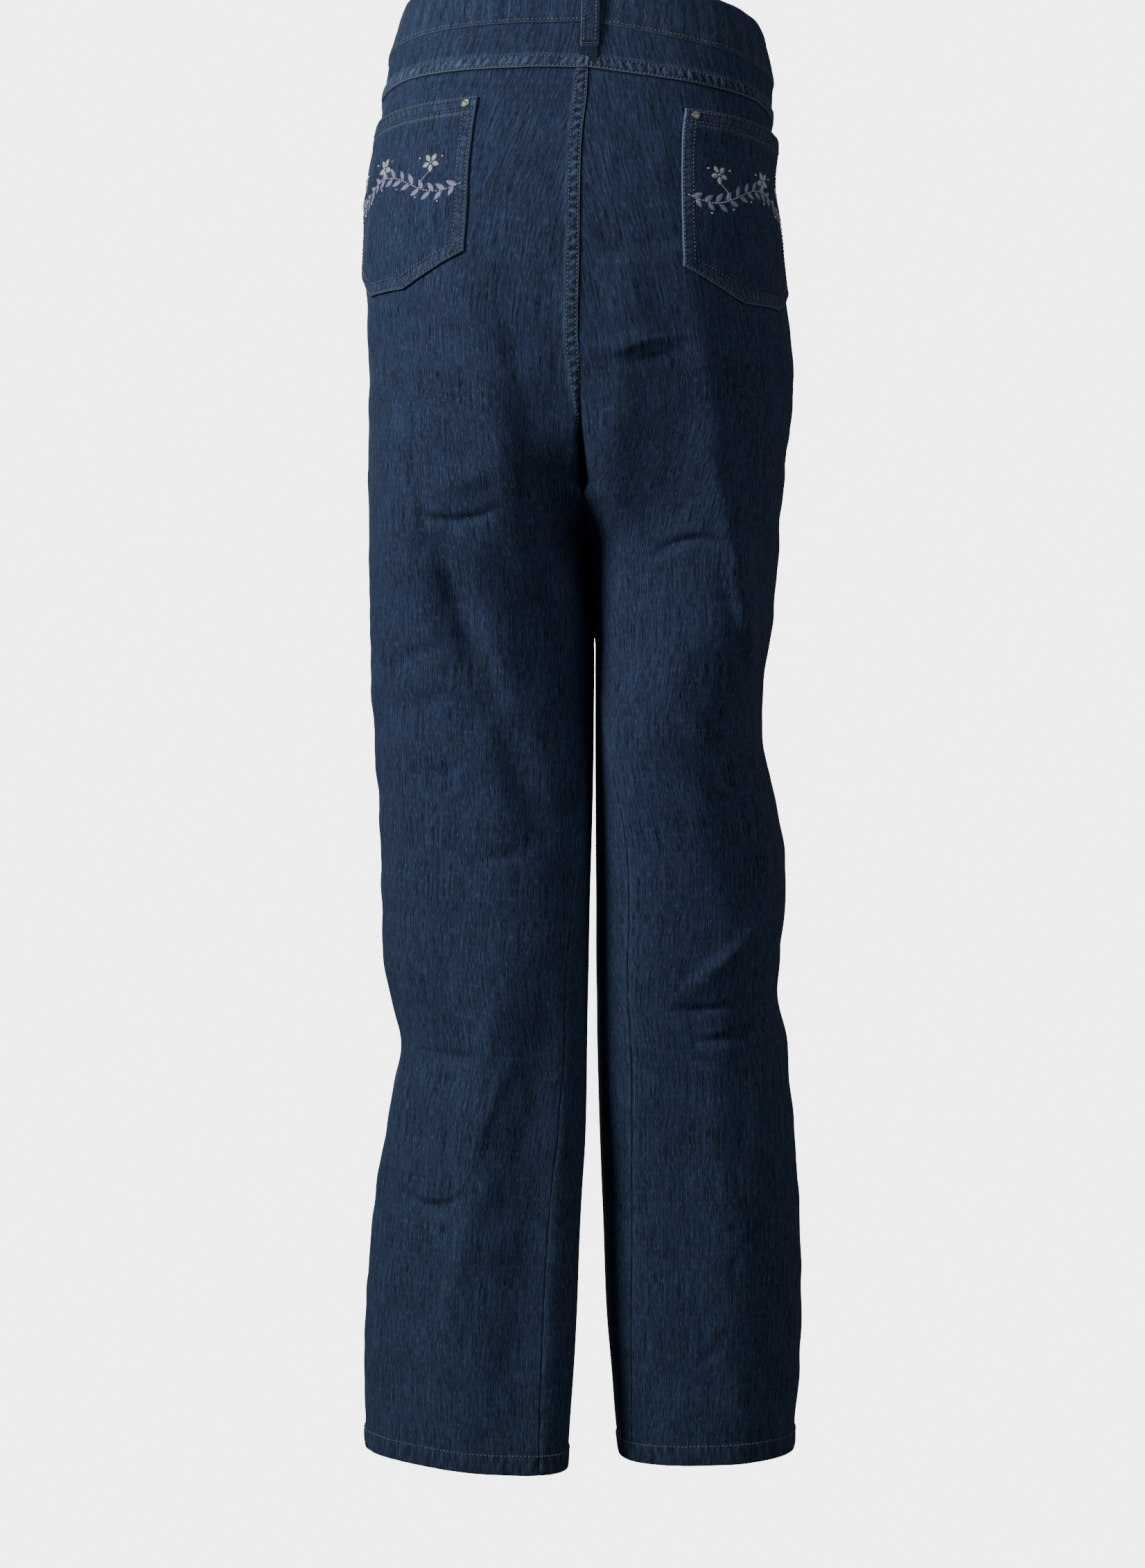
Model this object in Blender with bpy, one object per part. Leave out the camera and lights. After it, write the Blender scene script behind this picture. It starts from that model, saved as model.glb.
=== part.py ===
"""Slim fit jeans in their worn form, hollow, with nobody inside.

The garment hangs from the waist. +Z is up, the back faces +Y, the wearer's
left side is +X, and the origin is the middle of the waist at its top edge.
Sizes are in millimetres in this script and in metres in the meshes.

The cloth is one surface that every piece is cut from. Each half of the
garment has level sections from the hem to the waist. A point of the cloth is
given by the half, an angle round the section (0 at the outer side, 90 at the
back, -90 at the front, 180 at the inner leg) and a level. Folds push the
surface in or out along its normal. A piece is a grid of such points, made a
wall by a second grid further in along the same normals.
"""
import math

import bpy
import numpy as np

MILLIMETRE = 0.001
LEFT, RIGHT = 1, -1
SIDE_NAME = {LEFT: "left", RIGHT: "right"}
FRONT, BACK = -1, 1

# Cloth thicknesses and the clearances between sewn pieces
CLOTH = 1.2
SEAM_GAP = 0.3
LAYER_GAP = 0.8
HEM_DEPTH = 15.0
HEM_LIFT = 0.7
HEM_THICK = 2.6
HEM_STEP = 0.8                     # height of the step above a hem's turned edge
BAND_HEIGHT = 40.0
BAND_LIFT = 0.8
BAND_THICK = 2.6
BAND_CLEAR = BAND_LIFT + SEAM_GAP + 0.2     # what lies on the waistband starts here
UNDERLAP_TURN = 18.0               # degrees that the band's hidden end reaches past centre front
TUCK_TURN = 16.0                   # degrees over which the right end steps in under the left

# Levels of the seams, measured down from the waist
HEM_LEVEL = {LEFT: (-1089.0, -1083.0), RIGHT: (-1086.0, -1083.0)}   # inseam, side
CROTCH_LEVEL = -376.0
CROTCH_SIDE_LEVEL = -346.0
RISE_HEIGHT = {FRONT: 92.0, BACK: 108.0}
TOP_SIDE_TURN = -5.0               # degrees round to the side seam at the waist and yoke

# The section curve: above 2 it is squarer than an ellipse
LEG_SQUARENESS = 2.35
BODY_SQUARENESS = 2.55
SPLIT_LEVELS = (-410.0, -275.0)    # the halves part into two legs between these
CLEFT_SOFTNESS = 14.0

# Grid sizes
PANEL_COLUMNS = 13
LEG_ROWS = 33
RISE_ROWS = 15


def table(names, rows):
    """A table with named columns, kept in rising order of its first column."""
    ordered = sorted(rows)
    return {name: np.array([row[i] for row in ordered], float) for i, name in enumerate(names.split())}


# The waist and yoke seams by degrees round each half, from centre front to centre back.
# They hang lower on the right, and the front dips.
WAIST_SEAM = table("turn left right", [
    (-90, -76, -76),
    (-45, -69, -78),
    (-6, -54, -74),
    (10, -50, -69.8),
    (30, -45, -62.8),
    (60, -42.2, -52.2),
    (90, -42, -42),
])
YOKE_SEAM = table("turn left right", [
    (-6, -84, -100),
    (10, -80.5, -96.8),
    (30, -76, -91.5),
    (60, -75.5, -84),
    (90, -76, -76),
])

# Above the crotch both halves share the seam line and the depth
BODY = table("level seam left_outer right_outer front back", [
    (10, -14, 117, -130, -111, 91),
    (-20, -13, 127, -138.5, -114, 98),
    (-45, -12.5, 134.5, -145, -117, 105),
    (-74, -11.5, 139.5, -148, -120, 112),
    (-100, -10, 143, -147.5, -122, 117.5),
    (-120, -7.5, 146.5, -147.5, -123, 122),
    (-145, -6, 150, -147.5, -124, 128),
    (-177, -5.5, 152, -152, -124, 134),
    (-217, -5, 152.5, -155.5, -123, 137),
    (-258, -4, 151, -161, -121, 136),
    (-287, -4, 150, -163.5, -119, 133),
    (-330, -5, 150.5, -159.5, -116, 124),
    (-376, -8.5, 151, -155, -112, 111),
    (-420, -12, 151, -152, -108, 100),
])
LEG = {
    LEFT: table("level inner outer front back slant", [
        (-464, -15.5, 151, -100, 88, -4),
        (-535, -16, 149, -91, 76, -10),
        (-600, -15, 145, -85, 71, -15),
        (-670, -13, 143, -80, 66, -18),
        (-722, -12, 141, -77, 61, -20),
        (-755, -11.3, 134, -75, 58, -20),
        (-777, -11, 129, -74, 56, -20),
        (-815, -10.5, 135.5, -73, 54, -22),
        (-850, -9.5, 141.5, -72, 52, -25),
        (-885, -7.2, 147.5, -71, 50, -26),
        (-925, -5.2, 152, -70, 49, -27),
        (-970, -3.6, 155.5, -68, 47, -29),
        (-1010, -1.5, 157, -67, 46, -30),
        (-1060, 2, 156.5, -66, 45, -30),
        (-1095, 4, 155.5, -66, 44, -30),
    ]),
    RIGHT: table("level inner outer front back slant", [
        (-464, -16.5, -149, -106, 97, -4),
        (-505, -16.9, -143, -104, 93, -6),
        (-546, -16.9, -141.5, -101, 86, -8),
        (-584, -17, -148.5, -97, 78, -8),
        (-613, -17.2, -155, -94, 73, -8),
        (-639, -17.3, -158.5, -91, 69, -8),
        (-669, -17.5, -159, -89, 66, -8),
        (-722, -17.6, -154.5, -85, 60, -8),
        (-742, -18, -153.5, -84, 57, -8),
        (-765, -18.2, -158.5, -83, 54, -8),
        (-814, -19.3, -163.5, -81, 48, -8),
        (-852, -20.5, -167, -81, 44, -7),
        (-914, -23, -171, -82, 40, -6),
        (-983, -25.7, -172, -85, 37, -6),
        (-1027, -29.5, -170.5, -88, 35, -6),
        (-1060, -32, -168, -90, 34, -6),
        (-1095, -36, -166, -92, 33, -6),
    ]),
}
# Where the long seams run round the leg, in degrees of the section's angle
SEAM_TURN = table("level left_inseam right_inseam side", [
    (10, 180, 180, -4),
    (-45, 180, 180, -5),
    (-217, 180, 180, -8),
    (-376, 180, 180, -14),
    (-464, 168, 156, -20),
    (-585, 152, 130, -30),
    (-722, 141, 128, -35),
    (-900, 140, 138, -35),
    (-1095, 143, 146, -35),
])
# Folds: a bowed line from start to end as seen from the back or the front.
# A depth below zero is a trough and above zero a ridge.
FOLDS = table("start_level face start_x end_x end_level bow width depth", [
    (-216, BACK, 83, 28, -457, -3, 22, 5.0),        # under the seat, left
    (-292, BACK, 12, 8, -440, 0, 22, -9.0),         # hollow inside the left thigh
    (-419, BACK, 96, 22, -620, 0, 16, -7.0),        # long drag line, left thigh
    (-440, BACK, 118, 46, -640, 0, 18, 3.0),
    (-722, BACK, 43, 80, -865, 4, 14, 3.0),
    (-765, BACK, 124, 99, -877, -3, 14, 4.0),       # flap beside the knee notch
    (-762, BACK, 16, 92, -1041, 2, 18, -8.0),       # long drag line, left calf
    (-882, BACK, 71, 104, -1041, -2, 14, 4.0),
    (-213, BACK, -79, -124, -519, -4, 18, 5.0),     # edge down the right thigh
    (-372, BACK, -128, -134, -507, 9, 14, 3.5),
    (-569, BACK, -95, -128, -661, 0, 16, -3.5),
    (-500, BACK, -73, -73, -560, 0, 28, 3.0),
    (-730, BACK, -96, -143, -678, 0, 14, 3.0),
    (-747, BACK, -147, -138, -900, 6, 14, 3.5),
    (-240, FRONT, 20, 96, -262, -8, 14, -3.0),      # the front's own set
    (-262, FRONT, -24, -104, -286, 8, 14, -3.0),
    (-290, FRONT, 26, 92, -340, -6, 16, -4.0),
    (-305, FRONT, -32, -98, -352, 6, 16, -3.5),
    (-330, FRONT, 18, 58, -470, 0, 18, -5.0),
    (-335, FRONT, -30, -66, -470, 0, 18, -5.0),
    (-600, FRONT, 30, 112, -655, -6, 16, -3.5),
    (-640, FRONT, -40, -120, -680, 6, 16, -3.5),
    (-690, FRONT, 26, 108, -716, -5, 16, -4.0),
    (-760, FRONT, 110, 44, -1020, 0, 18, -6.0),
    (-745, FRONT, -60, -130, -1010, 0, 18, -6.0),
])
# How a fold dies away
FOLD_SPREAD = 0.72                 # radius of its bell as a share of its width
FOLD_END = 0.12                    # share of the sine along it that is cut off at each end
FOLD_FACING = (1.5, -0.15)         # slope and start of its fade where the cloth turns edge on

# Back patch pockets: distances are along the cloth from the centre seam
POCKET = {
    LEFT: {"inner": (78, 82), "mouth": (-96, -101), "foot": -232, "gape": 0.0},
    RIGHT: {"inner": (71, 73), "mouth": (-104.7, -111), "foot": -243, "gape": 2.6},
}
POCKET_WIDTH = (150.0, 145.0)      # at the mouth and at the foot
POCKET_CLIP = (52.0, 23.0)         # the clipped lower corners
POCKET_THICK = 1.4
POCKET_GRID = (12, 9)
GAPE_DEPTH = 0.35                  # share of a pocket's depth that its gape reaches
GAPE_ACROSS = (0.45, 0.95)         # shares of its width between which the gape opens

# Front pocket mouth, a scoop from the waist seam to the side seam
SCOOP_START = 0.46                 # share of the way from centre front to side
SCOOP_DROP = 72.0
FACING_BELOW = 24.0
FACING_LAP = 8.0
FACING_START = 0.38                # share of the way from centre front to side
FACING_SHORT = 0.55                # share of its full depth that it has at its front edge
FACING_TURN_DROP = 20.0            # below the waist seam, where the side seam's turn is read

# Closed fly behind the centre front
FLY_TOP_CLEAR = 1.0
ZIP_SIZE = (26.0, 132.0, 1.0)      # width, height, thickness
SHIELD_SIZE = (46.0, 150.0, 1.4)
SHIELD_SHIFT = 6.0                 # towards the left half

LOOP_WIDTH = 12.6
LOOP_THICK = 1.6
LOOP_STAND = 2.6                   # how far the middle of a loop stands off
LOOP_FOOT = 17.0                   # how far it reaches below the waist seam
LOOP_TOP_PAST = 1.5                # how far it reaches above the waistband
LOOP_PROFILE = [                   # measured from, height above it, clearance, stand, thickness
    ("foot", -13.0, LAYER_GAP, 0.0, 0.8),
    ("foot", -0.5, LAYER_GAP, 0.0, 0.8),
    ("foot", 0.0, LAYER_GAP, 0.0, 2.0),
    ("foot", 5.0, LAYER_GAP, 0.0, 2.0),
    ("waist", -2.0, BAND_CLEAR, 0.6, LOOP_THICK),
    ("waist", 6.0, BAND_CLEAR, 1.0, LOOP_THICK),
    ("waist", 22.0, BAND_CLEAR, 1.0, LOOP_THICK),
    ("top", -7.0, BAND_CLEAR, 0.5, LOOP_THICK),
    ("top", -3.0, BAND_CLEAR, 0.0, 2.0),
    ("top", 0.0, BAND_CLEAR, 0.0, 2.0),
]                                  # the stand is a share of LOOP_STAND
LOOPS = {                          # half, face, distance from the centre seam
    "back": (LEFT, BACK, 0.0),
    "side_left": (LEFT, FRONT, 158.0),
    "side_right": (RIGHT, FRONT, 158.0),
    "front_left": (LEFT, FRONT, 78.0),
    "front_right": (RIGHT, FRONT, 78.0),
}

RIVET_RADIUS = 3.2
RIVET_PLACE = (8.0, 5.0)           # from the pocket's inner corner, across and down
RIVET_PROFILE = [(0, 0), (1, 0), (1, 0.5), (0.82, 1.1), (0.55, 1.0), (0.45, 0.6), (0.3, 0.6),
                 (0.22, 1.0), (0, 1.1)]          # share of the radius, height
RIVET_SEGMENTS = 14
BUTTON_RADIUS = 8.5
BUTTON_FROM_EDGE = 15.0
BUTTON_PROFILE = [(0, 0), (0.55, 0), (0.6, 1.2), (0.94, 1.6), (1, 2.3), (0.94, 3.0), (0.8, 3.1),
                  (0.7, 2.6), (0.35, 2.8), (0, 2.9)]
BUTTON_SEGMENTS = 20

MATERIALS = {                      # colour, roughness, metallic
    "denim": ((0.028, 0.051, 0.107), 0.86, 0.0),
    "pewter": ((0.34, 0.33, 0.32), 0.38, 1.0),
    "zip_tape": ((0.02, 0.028, 0.05), 0.8, 0.0),
}


def smooth_read(rows, name, level):
    """Read a column between its rows, along a curve through them."""
    levels, values = rows[next(iter(rows))], rows[name]
    slopes = np.gradient(values, levels)
    level = np.clip(level, levels[0], levels[-1])
    below = np.clip(np.searchsorted(levels, level) - 1, 0, len(levels) - 2)
    span = levels[below + 1] - levels[below]
    t = (level - levels[below]) / span
    return ((2 * t**3 - 3 * t**2 + 1) * values[below] + (t**3 - 2 * t**2 + t) * span * slopes[below]
            + (3 * t**2 - 2 * t**3) * values[below + 1] + (t**3 - t**2) * span * slopes[below + 1])


def ease(t):
    t = np.clip(t, 0.0, 1.0)
    return t * t * (3 - 2 * t)


def half_sections(side):
    """One half's sections from hem to waist, leg rows first."""
    leg = LEG[side]
    parting = np.where(BODY["level"] < CROTCH_LEVEL, 0.4, 0.5 * SEAM_GAP)
    outer = BODY["left_outer"] if side == LEFT else BODY["right_outer"]
    body = {"level": BODY["level"], "inner": BODY["seam"] + side * parting, "outer": outer,
            "front": BODY["front"], "back": BODY["back"], "slant": np.zeros(len(outer))}
    return {name: np.concatenate([leg[name], body[name]]) for name in body}


SECTIONS = {side: half_sections(side) for side in (LEFT, RIGHT)}


def base_point(side, angle, level):
    """The cloth with no folds: a squared ellipse, cut off at the inner leg."""
    inner, outer, front, back, slant = (
        smooth_read(SECTIONS[side], name, level) for name in ("inner", "outer", "front", "back", "slant"))
    joined = ease((level - SPLIT_LEVELS[0]) / (SPLIT_LEVELS[1] - SPLIT_LEVELS[0]))
    centre = 0.5 * (1 - joined) * (inner + outer) + joined * inner
    half_width = outer - centre
    half_depth = 0.5 * (back - front)
    power = LEG_SQUARENESS + (BODY_SQUARENESS - LEG_SQUARENESS) * joined
    across, along = np.cos(angle), np.sin(angle)
    reach = (np.abs(across / half_width)**power + np.abs(along / half_depth)**power)**(-1 / power)
    clear = side * (centre - inner) + reach * across
    soft = CLEFT_SOFTNESS * 4 * joined * (1 - joined)
    clear = 0.5 * (clear + np.sqrt(clear**2 + soft**2))
    x = inner + side * clear
    y = 0.5 * (front + back) + reach * along + slant * (x - centre) / half_width
    return np.stack([x, y, level + 0 * x], axis=-1)


def cloth_normal(side, angle, level):
    turn, climb = math.radians(0.4), 1.5
    round_leg = base_point(side, angle + turn, level) - base_point(side, angle - turn, level)
    up_leg = base_point(side, angle, level + climb) - base_point(side, angle, level - climb)
    normal = side * np.cross(round_leg, up_leg)
    return normal / np.linalg.norm(normal, axis=-1, keepdims=True)


def fold_depth(x, level, facing):
    """Sum of the folds at a place; they fade where the cloth turns edge on."""
    depth = 0.0 * x
    for i in range(len(FOLDS["depth"])):
        fold = {name: values[i] for name, values in FOLDS.items()}
        run = np.array([fold["end_x"] - fold["start_x"], fold["end_level"] - fold["start_level"]])
        length = np.hypot(*run)
        dx, dz = x - fold["start_x"], level - fold["start_level"]
        along = (dx * run[0] + dz * run[1]) / length**2
        inside = np.clip(along, 0, 1)
        aside = (dz * run[0] - dx * run[1]) / length - fold["bow"] * 4 * inside * (1 - inside)
        past = (along - inside) * length
        fade = np.sin(np.pi * (FOLD_END + (1 - 2 * FOLD_END) * inside))
        shape = np.exp(-(aside**2 + past**2) / (FOLD_SPREAD * fold["width"])**2)
        depth += fold["depth"] * fade * shape * ease(FOLD_FACING[0] * facing * fold["face"] + FOLD_FACING[1])
    return depth


def cloth(side, angle, level, lift=0.0):
    """A point of the finished cloth, moved out from its face by lift."""
    angle, level, lift = np.broadcast_arrays(np.asarray(angle, float), level, lift)
    base = base_point(side, angle, level)
    normal = cloth_normal(side, angle, level)
    out = fold_depth(base[..., 0], base[..., 2], normal[..., 1]) + lift
    return base + normal * out[..., None]


def angle_after(side, face, level, distance):
    """Angle at a distance along the cloth from the centre seam, at one level."""
    angles = face * np.radians(np.linspace(90, -60, 151))
    curve = base_point(side, angles, np.full(len(angles), float(level)))
    walked = np.concatenate([[0], np.cumsum(np.linalg.norm(np.diff(curve, axis=0), axis=1))])
    return np.interp(distance, walked, angles)


def seam_level(seam, side, angle):
    """Level of the waist or yoke seam at an angle round one half."""
    return smooth_read(seam, SIDE_NAME[side], np.degrees(angle))


def side_top(seam, side):
    """Level of the waist or yoke seam where it meets the side seam."""
    return float(seam_level(seam, side, math.radians(TOP_SIDE_TURN)))


def panel_rows(side, face, seam):
    """Level and angle of each row's two ends, from the hem to the top seam."""
    hem_inner, hem_side = HEM_LEVEL[side]
    leg = np.concatenate([[0.0], (HEM_DEPTH + np.array([0.0, HEM_STEP])) / (CROTCH_LEVEL - hem_inner),
                          np.linspace(0, 1, LEG_ROWS)[2:]])
    rise = np.linspace(0, 1, RISE_ROWS + 1)[1:]
    bend = np.minimum(np.pi * rise, np.pi / 2)
    straight = np.clip(2 * rise - 1, 0, 1)
    rise_inner = CROTCH_LEVEL + RISE_HEIGHT[face] * (1 - np.cos(bend))
    centre_top = float(seam_level(seam, side, face * math.pi / 2))
    rise_inner += straight * (centre_top - CROTCH_LEVEL - RISE_HEIGHT[face])
    inner = np.concatenate([hem_inner + leg * (CROTCH_LEVEL - hem_inner), rise_inner])
    outer = np.concatenate([hem_side + leg * (CROTCH_SIDE_LEVEL - hem_side),
                            CROTCH_SIDE_LEVEL + rise * (side_top(seam, side) - CROTCH_SIDE_LEVEL)])
    inseam = np.radians(smooth_read(SEAM_TURN, SIDE_NAME[side] + "_inseam", inner[:len(leg)]))
    start = np.concatenate([inseam if face == BACK else inseam - 2 * np.pi, face * (np.pi - bend)])
    return inner, outer, start, len(leg)


def panel_grid(side, face, seam):
    """Angles and levels of a leg panel, columns from the inner edge outwards."""
    inner, outer, start, leg_count = panel_rows(side, face, seam)
    share = np.linspace(0, 1, PANEL_COLUMNS + 1)[:, None]
    level = inner + (outer - inner) * ease(share)
    top_turn = math.radians(smooth_read(SEAM_TURN, "side", side_top(seam, side)))
    top = seam_level(seam, side, start[-1] + (top_turn - start[-1]) * share)
    if face == FRONT:
        scoop = np.clip((share - SCOOP_START) / (1 - SCOOP_START), 0, 1)
        top = top - SCOOP_DROP * np.sqrt(1 - (1 - scoop)**2)
    base = level[:, leg_count - 1:leg_count]
    squeeze = (top - base) / (level[:, -1:] - base)
    above = np.arange(level.shape[1]) >= leg_count
    level = np.where(above, base + (level - base) * squeeze, level)
    side_angle = np.radians(smooth_read(SEAM_TURN, "side", level[-1]))
    return start + (side_angle - start) * share, level


def trim(grid, edges=("start", "end", "low", "high")):
    """Draw the borders of a grid in by half a seam gap."""
    grid = grid.copy()
    borders = {"start": (grid[0], grid[1]), "end": (grid[-1], grid[-2]),
               "low": (grid[:, 0], grid[:, 1]), "high": (grid[:, -1], grid[:, -2])}
    shifts = {}
    for name, (edge, next_in) in borders.items():
        if name in edges:
            way = next_in - edge
            shifts[name] = way / np.linalg.norm(way, axis=-1, keepdims=True) * SEAM_GAP / 2
    for name, shift in shifts.items():
        borders[name][0][...] += shift
    return grid


def make_material(name):
    colour, roughness, metallic = MATERIALS[name]
    material = bpy.data.materials.get(name) or bpy.data.materials.new(name)
    material.use_nodes = True
    shader = material.node_tree.nodes["Principled BSDF"]
    shader.inputs["Base Color"].default_value = (*colour, 1.0)
    shader.inputs["Roughness"].default_value = roughness
    shader.inputs["Metallic"].default_value = metallic
    material.diffuse_color = (*colour, 1.0)
    return material


def make_object(name, points, faces, material):
    mesh = bpy.data.meshes.new(name)
    mesh.from_pydata((np.asarray(points) * MILLIMETRE).tolist(), [], faces)
    mesh.materials.append(make_material(material))
    mesh.shade_smooth()
    mesh.set_sharp_from_angle(angle=math.radians(40))
    part = bpy.data.objects.new(name, mesh)
    bpy.context.collection.objects.link(part)
    return part


def shorter_cut(points, quads):
    """Two triangles for each quad, cut along its shorter diagonal, so both faces of a wall are cut alike."""
    a, b, c, d = (points[quads[:, i]] for i in range(4))
    across = np.linalg.norm(a - c, axis=1) > np.linalg.norm(b - d, axis=1)
    turned = np.where(across[:, None], np.roll(quads, -1, axis=1), quads)
    return np.concatenate([turned[:, [0, 1, 2]], turned[:, [0, 2, 3]]])


def make_wall(name, outer, inner, material="denim"):
    """A closed wall between two matching grids of points, wound to face outwards."""
    columns, rows = outer.shape[:2]
    number = np.arange(columns * rows).reshape(columns, rows)
    second = columns * rows
    quads = np.stack([number[:-1, :-1], number[1:, :-1], number[1:, 1:], number[:-1, 1:]], -1).reshape(-1, 4)
    around = np.concatenate([number[:, 0], number[-1, 1:], number[-2::-1, -1], number[0, -2:0:-1]])
    after = np.roll(around, -1)
    rim = np.stack([after, around, around + second, after + second], -1)
    points = np.concatenate([outer.reshape(-1, 3), inner.reshape(-1, 3)])
    skin = shorter_cut(points, quads)
    faces = np.concatenate([skin, skin[:, ::-1] + second, shorter_cut(points, rim)])
    a, b, c = (points[faces[:, i]] for i in range(3))
    if np.sum(np.cross(a, b) * c) < 0:
        faces = faces[:, ::-1]
    return make_object(name, points, faces.tolist(), material)


def make_cloth_piece(name, side, angle, level, lift=0.0, thick=CLOTH):
    """A wall of cloth on the garment's own surface."""
    outer = trim(cloth(side, angle, level, lift))
    inner = trim(cloth(side, angle, level, lift - thick))
    return make_wall(name, outer, inner)


def make_leg_panels():
    for side in (LEFT, RIGHT):
        for face, word, seam in ((BACK, "back", YOKE_SEAM), (FRONT, "front", WAIST_SEAM)):
            angle, level = panel_grid(side, face, seam)
            at_hem = np.arange(level.shape[1]) < 2
            lift = np.where(at_hem, HEM_LIFT, 0.0)
            thick = np.where(at_hem, HEM_THICK, CLOTH)
            make_cloth_piece(f"{word}_panel_{SIDE_NAME[side]}", side, angle, level, lift, thick)


def make_yokes():
    rows = np.linspace(0, 1, 3)
    for side in (LEFT, RIGHT):
        top_angle = math.radians(smooth_read(SEAM_TURN, "side", side_top(WAIST_SEAM, side)))
        low_angle = math.radians(smooth_read(SEAM_TURN, "side", side_top(YOKE_SEAM, side)))
        share = np.linspace(0, 1, PANEL_COLUMNS + 1)[:, None]
        side_angle = low_angle + (top_angle - low_angle) * rows
        angle = math.pi / 2 + (side_angle - math.pi / 2) * share
        low = seam_level(YOKE_SEAM, side, angle[:, :1])
        high = seam_level(WAIST_SEAM, side, angle[:, -1:])
        make_cloth_piece(f"yoke_{SIDE_NAME[side]}", side, angle, low + (high - low) * rows)


def make_waistband():
    """One strip: from the underlap round the right half and the back to the left front."""
    height = np.linspace(0, BAND_HEIGHT, 3)
    quarter = np.radians(np.linspace(-90, 90, 25))
    underlap = np.radians(-90 + np.linspace(UNDERLAP_TURN, 0, 4))
    tuck = BAND_THICK + 2 * SEAM_GAP
    runs = ((LEFT, underlap[:-1], -tuck), (RIGHT, quarter, 0.0), (LEFT, quarter[::-1][1:], 0.0))
    outer, inner = [], []
    for side, angles, extra in runs:
        level = seam_level(WAIST_SEAM, side, angles)[:, None] + height
        lift = np.full(len(angles), BAND_LIFT + extra)
        if side == RIGHT:
            lift -= tuck * ease(1 - (angles + math.pi / 2) / math.radians(TUCK_TURN))
        outer.append(cloth(side, angles[:, None], level, lift[:, None]))
        inner.append(cloth(side, angles[:, None], level, lift[:, None] - BAND_THICK))
    outer = trim(np.concatenate(outer), ("low",))
    inner = trim(np.concatenate(inner), ("low",))
    make_wall("waistband", outer, inner)


def pocket_grid(side):
    """Angles, levels and extra lift of a back pocket, from its inner edge outwards."""
    size = POCKET[side]
    columns, rows = POCKET_GRID
    width_share = np.linspace(0, 1, columns + 1)
    clip_along, clip_up = POCKET_CLIP
    across = width_share * POCKET_WIDTH[0]
    from_corner = np.minimum(across, POCKET_WIDTH[0] - across)
    foot = size["foot"] + clip_up * np.clip(1 - from_corner / clip_along, 0, 1)
    mouth = size["mouth"][0] + (size["mouth"][1] - size["mouth"][0]) * width_share
    down = np.linspace(0, 1, rows + 1)
    level = foot[:, None] + (mouth - foot)[:, None] * (1 - down)
    angle = np.zeros_like(level)
    for i, share in enumerate(width_share):
        for j, part in enumerate(down):
            start = size["inner"][0] + (size["inner"][1] - size["inner"][0]) * part
            width = POCKET_WIDTH[0] + (POCKET_WIDTH[1] - POCKET_WIDTH[0]) * part
            angle[i, j] = angle_after(side, BACK, level[i, j], start + share * width)
    opening = (width_share[:, None] - GAPE_ACROSS[0]) / (GAPE_ACROSS[1] - GAPE_ACROSS[0])
    gape = size["gape"] * ease(1 - down / GAPE_DEPTH) * ease(opening)
    return angle, level, gape


def make_back_pockets():
    for side in (LEFT, RIGHT):
        angle, level, gape = pocket_grid(side)
        lift = LAYER_GAP + POCKET_THICK + gape
        outer = cloth(side, angle, level, lift)
        inner = cloth(side, angle, level, lift - POCKET_THICK)
        make_wall(f"back_pocket_{SIDE_NAME[side]}", outer, inner)


def make_pocket_facings():
    """The cloth seen in the front pocket mouth, lapped under panel and back."""
    rows = np.linspace(0, 1, 6)
    depth = CLOTH + LAYER_GAP
    for side in (LEFT, RIGHT):
        waist = side_top(WAIST_SEAM, side)
        side_turn = math.radians(smooth_read(SEAM_TURN, "side", waist - FACING_TURN_DROP))
        lap = FACING_LAP / abs(smooth_read(SECTIONS[side], "outer", waist))
        start = -math.pi / 2 + FACING_START * (side_turn + math.pi / 2)
        angle = np.linspace(start, side_turn + lap, 9)[:, None] + 0 * rows
        share = np.linspace(0, 1, 9)[:, None]
        high = seam_level(WAIST_SEAM, side, angle)
        low = high - (FACING_SHORT + (1 - FACING_SHORT) * ease(share)) * (SCOOP_DROP + FACING_BELOW)
        level = low + (high - low) * rows
        make_cloth_piece(f"front_pocket_facing_{SIDE_NAME[side]}", side, angle, level, -depth)


def front_strip(name, width_from, width_to, top, height, depth, thick, material="denim"):
    """A strip behind the centre front, crossing from the right half to the left."""
    drops = np.linspace(height, 0, 7)
    outer, inner = [], []
    for across in np.linspace(width_from, width_to, 5):
        side = LEFT if across >= 0 else RIGHT
        level = top - drops
        angle = np.array([angle_after(side, FRONT, value, abs(across)) for value in level])
        outer.append(cloth(side, angle, level, -depth))
        inner.append(cloth(side, angle, level, -depth - thick))
    make_wall(name, np.array(outer), np.array(inner), material)


def make_fly():
    top = float(seam_level(WAIST_SEAM, LEFT, -math.pi / 2)) - FLY_TOP_CLEAR
    zip_width, zip_height, zip_thick = ZIP_SIZE
    shield_width, shield_height, shield_thick = SHIELD_SIZE
    zip_depth = CLOTH + LAYER_GAP
    front_strip("fly_zip", -zip_width / 2, zip_width / 2, top, zip_height, zip_depth, zip_thick, "zip_tape")
    shield_depth = zip_depth + zip_thick + 2 * SEAM_GAP
    front_strip("fly_shield", SHIELD_SHIFT - shield_width / 2, SHIELD_SHIFT + shield_width / 2, top,
                shield_height, shield_depth, shield_thick)


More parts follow.
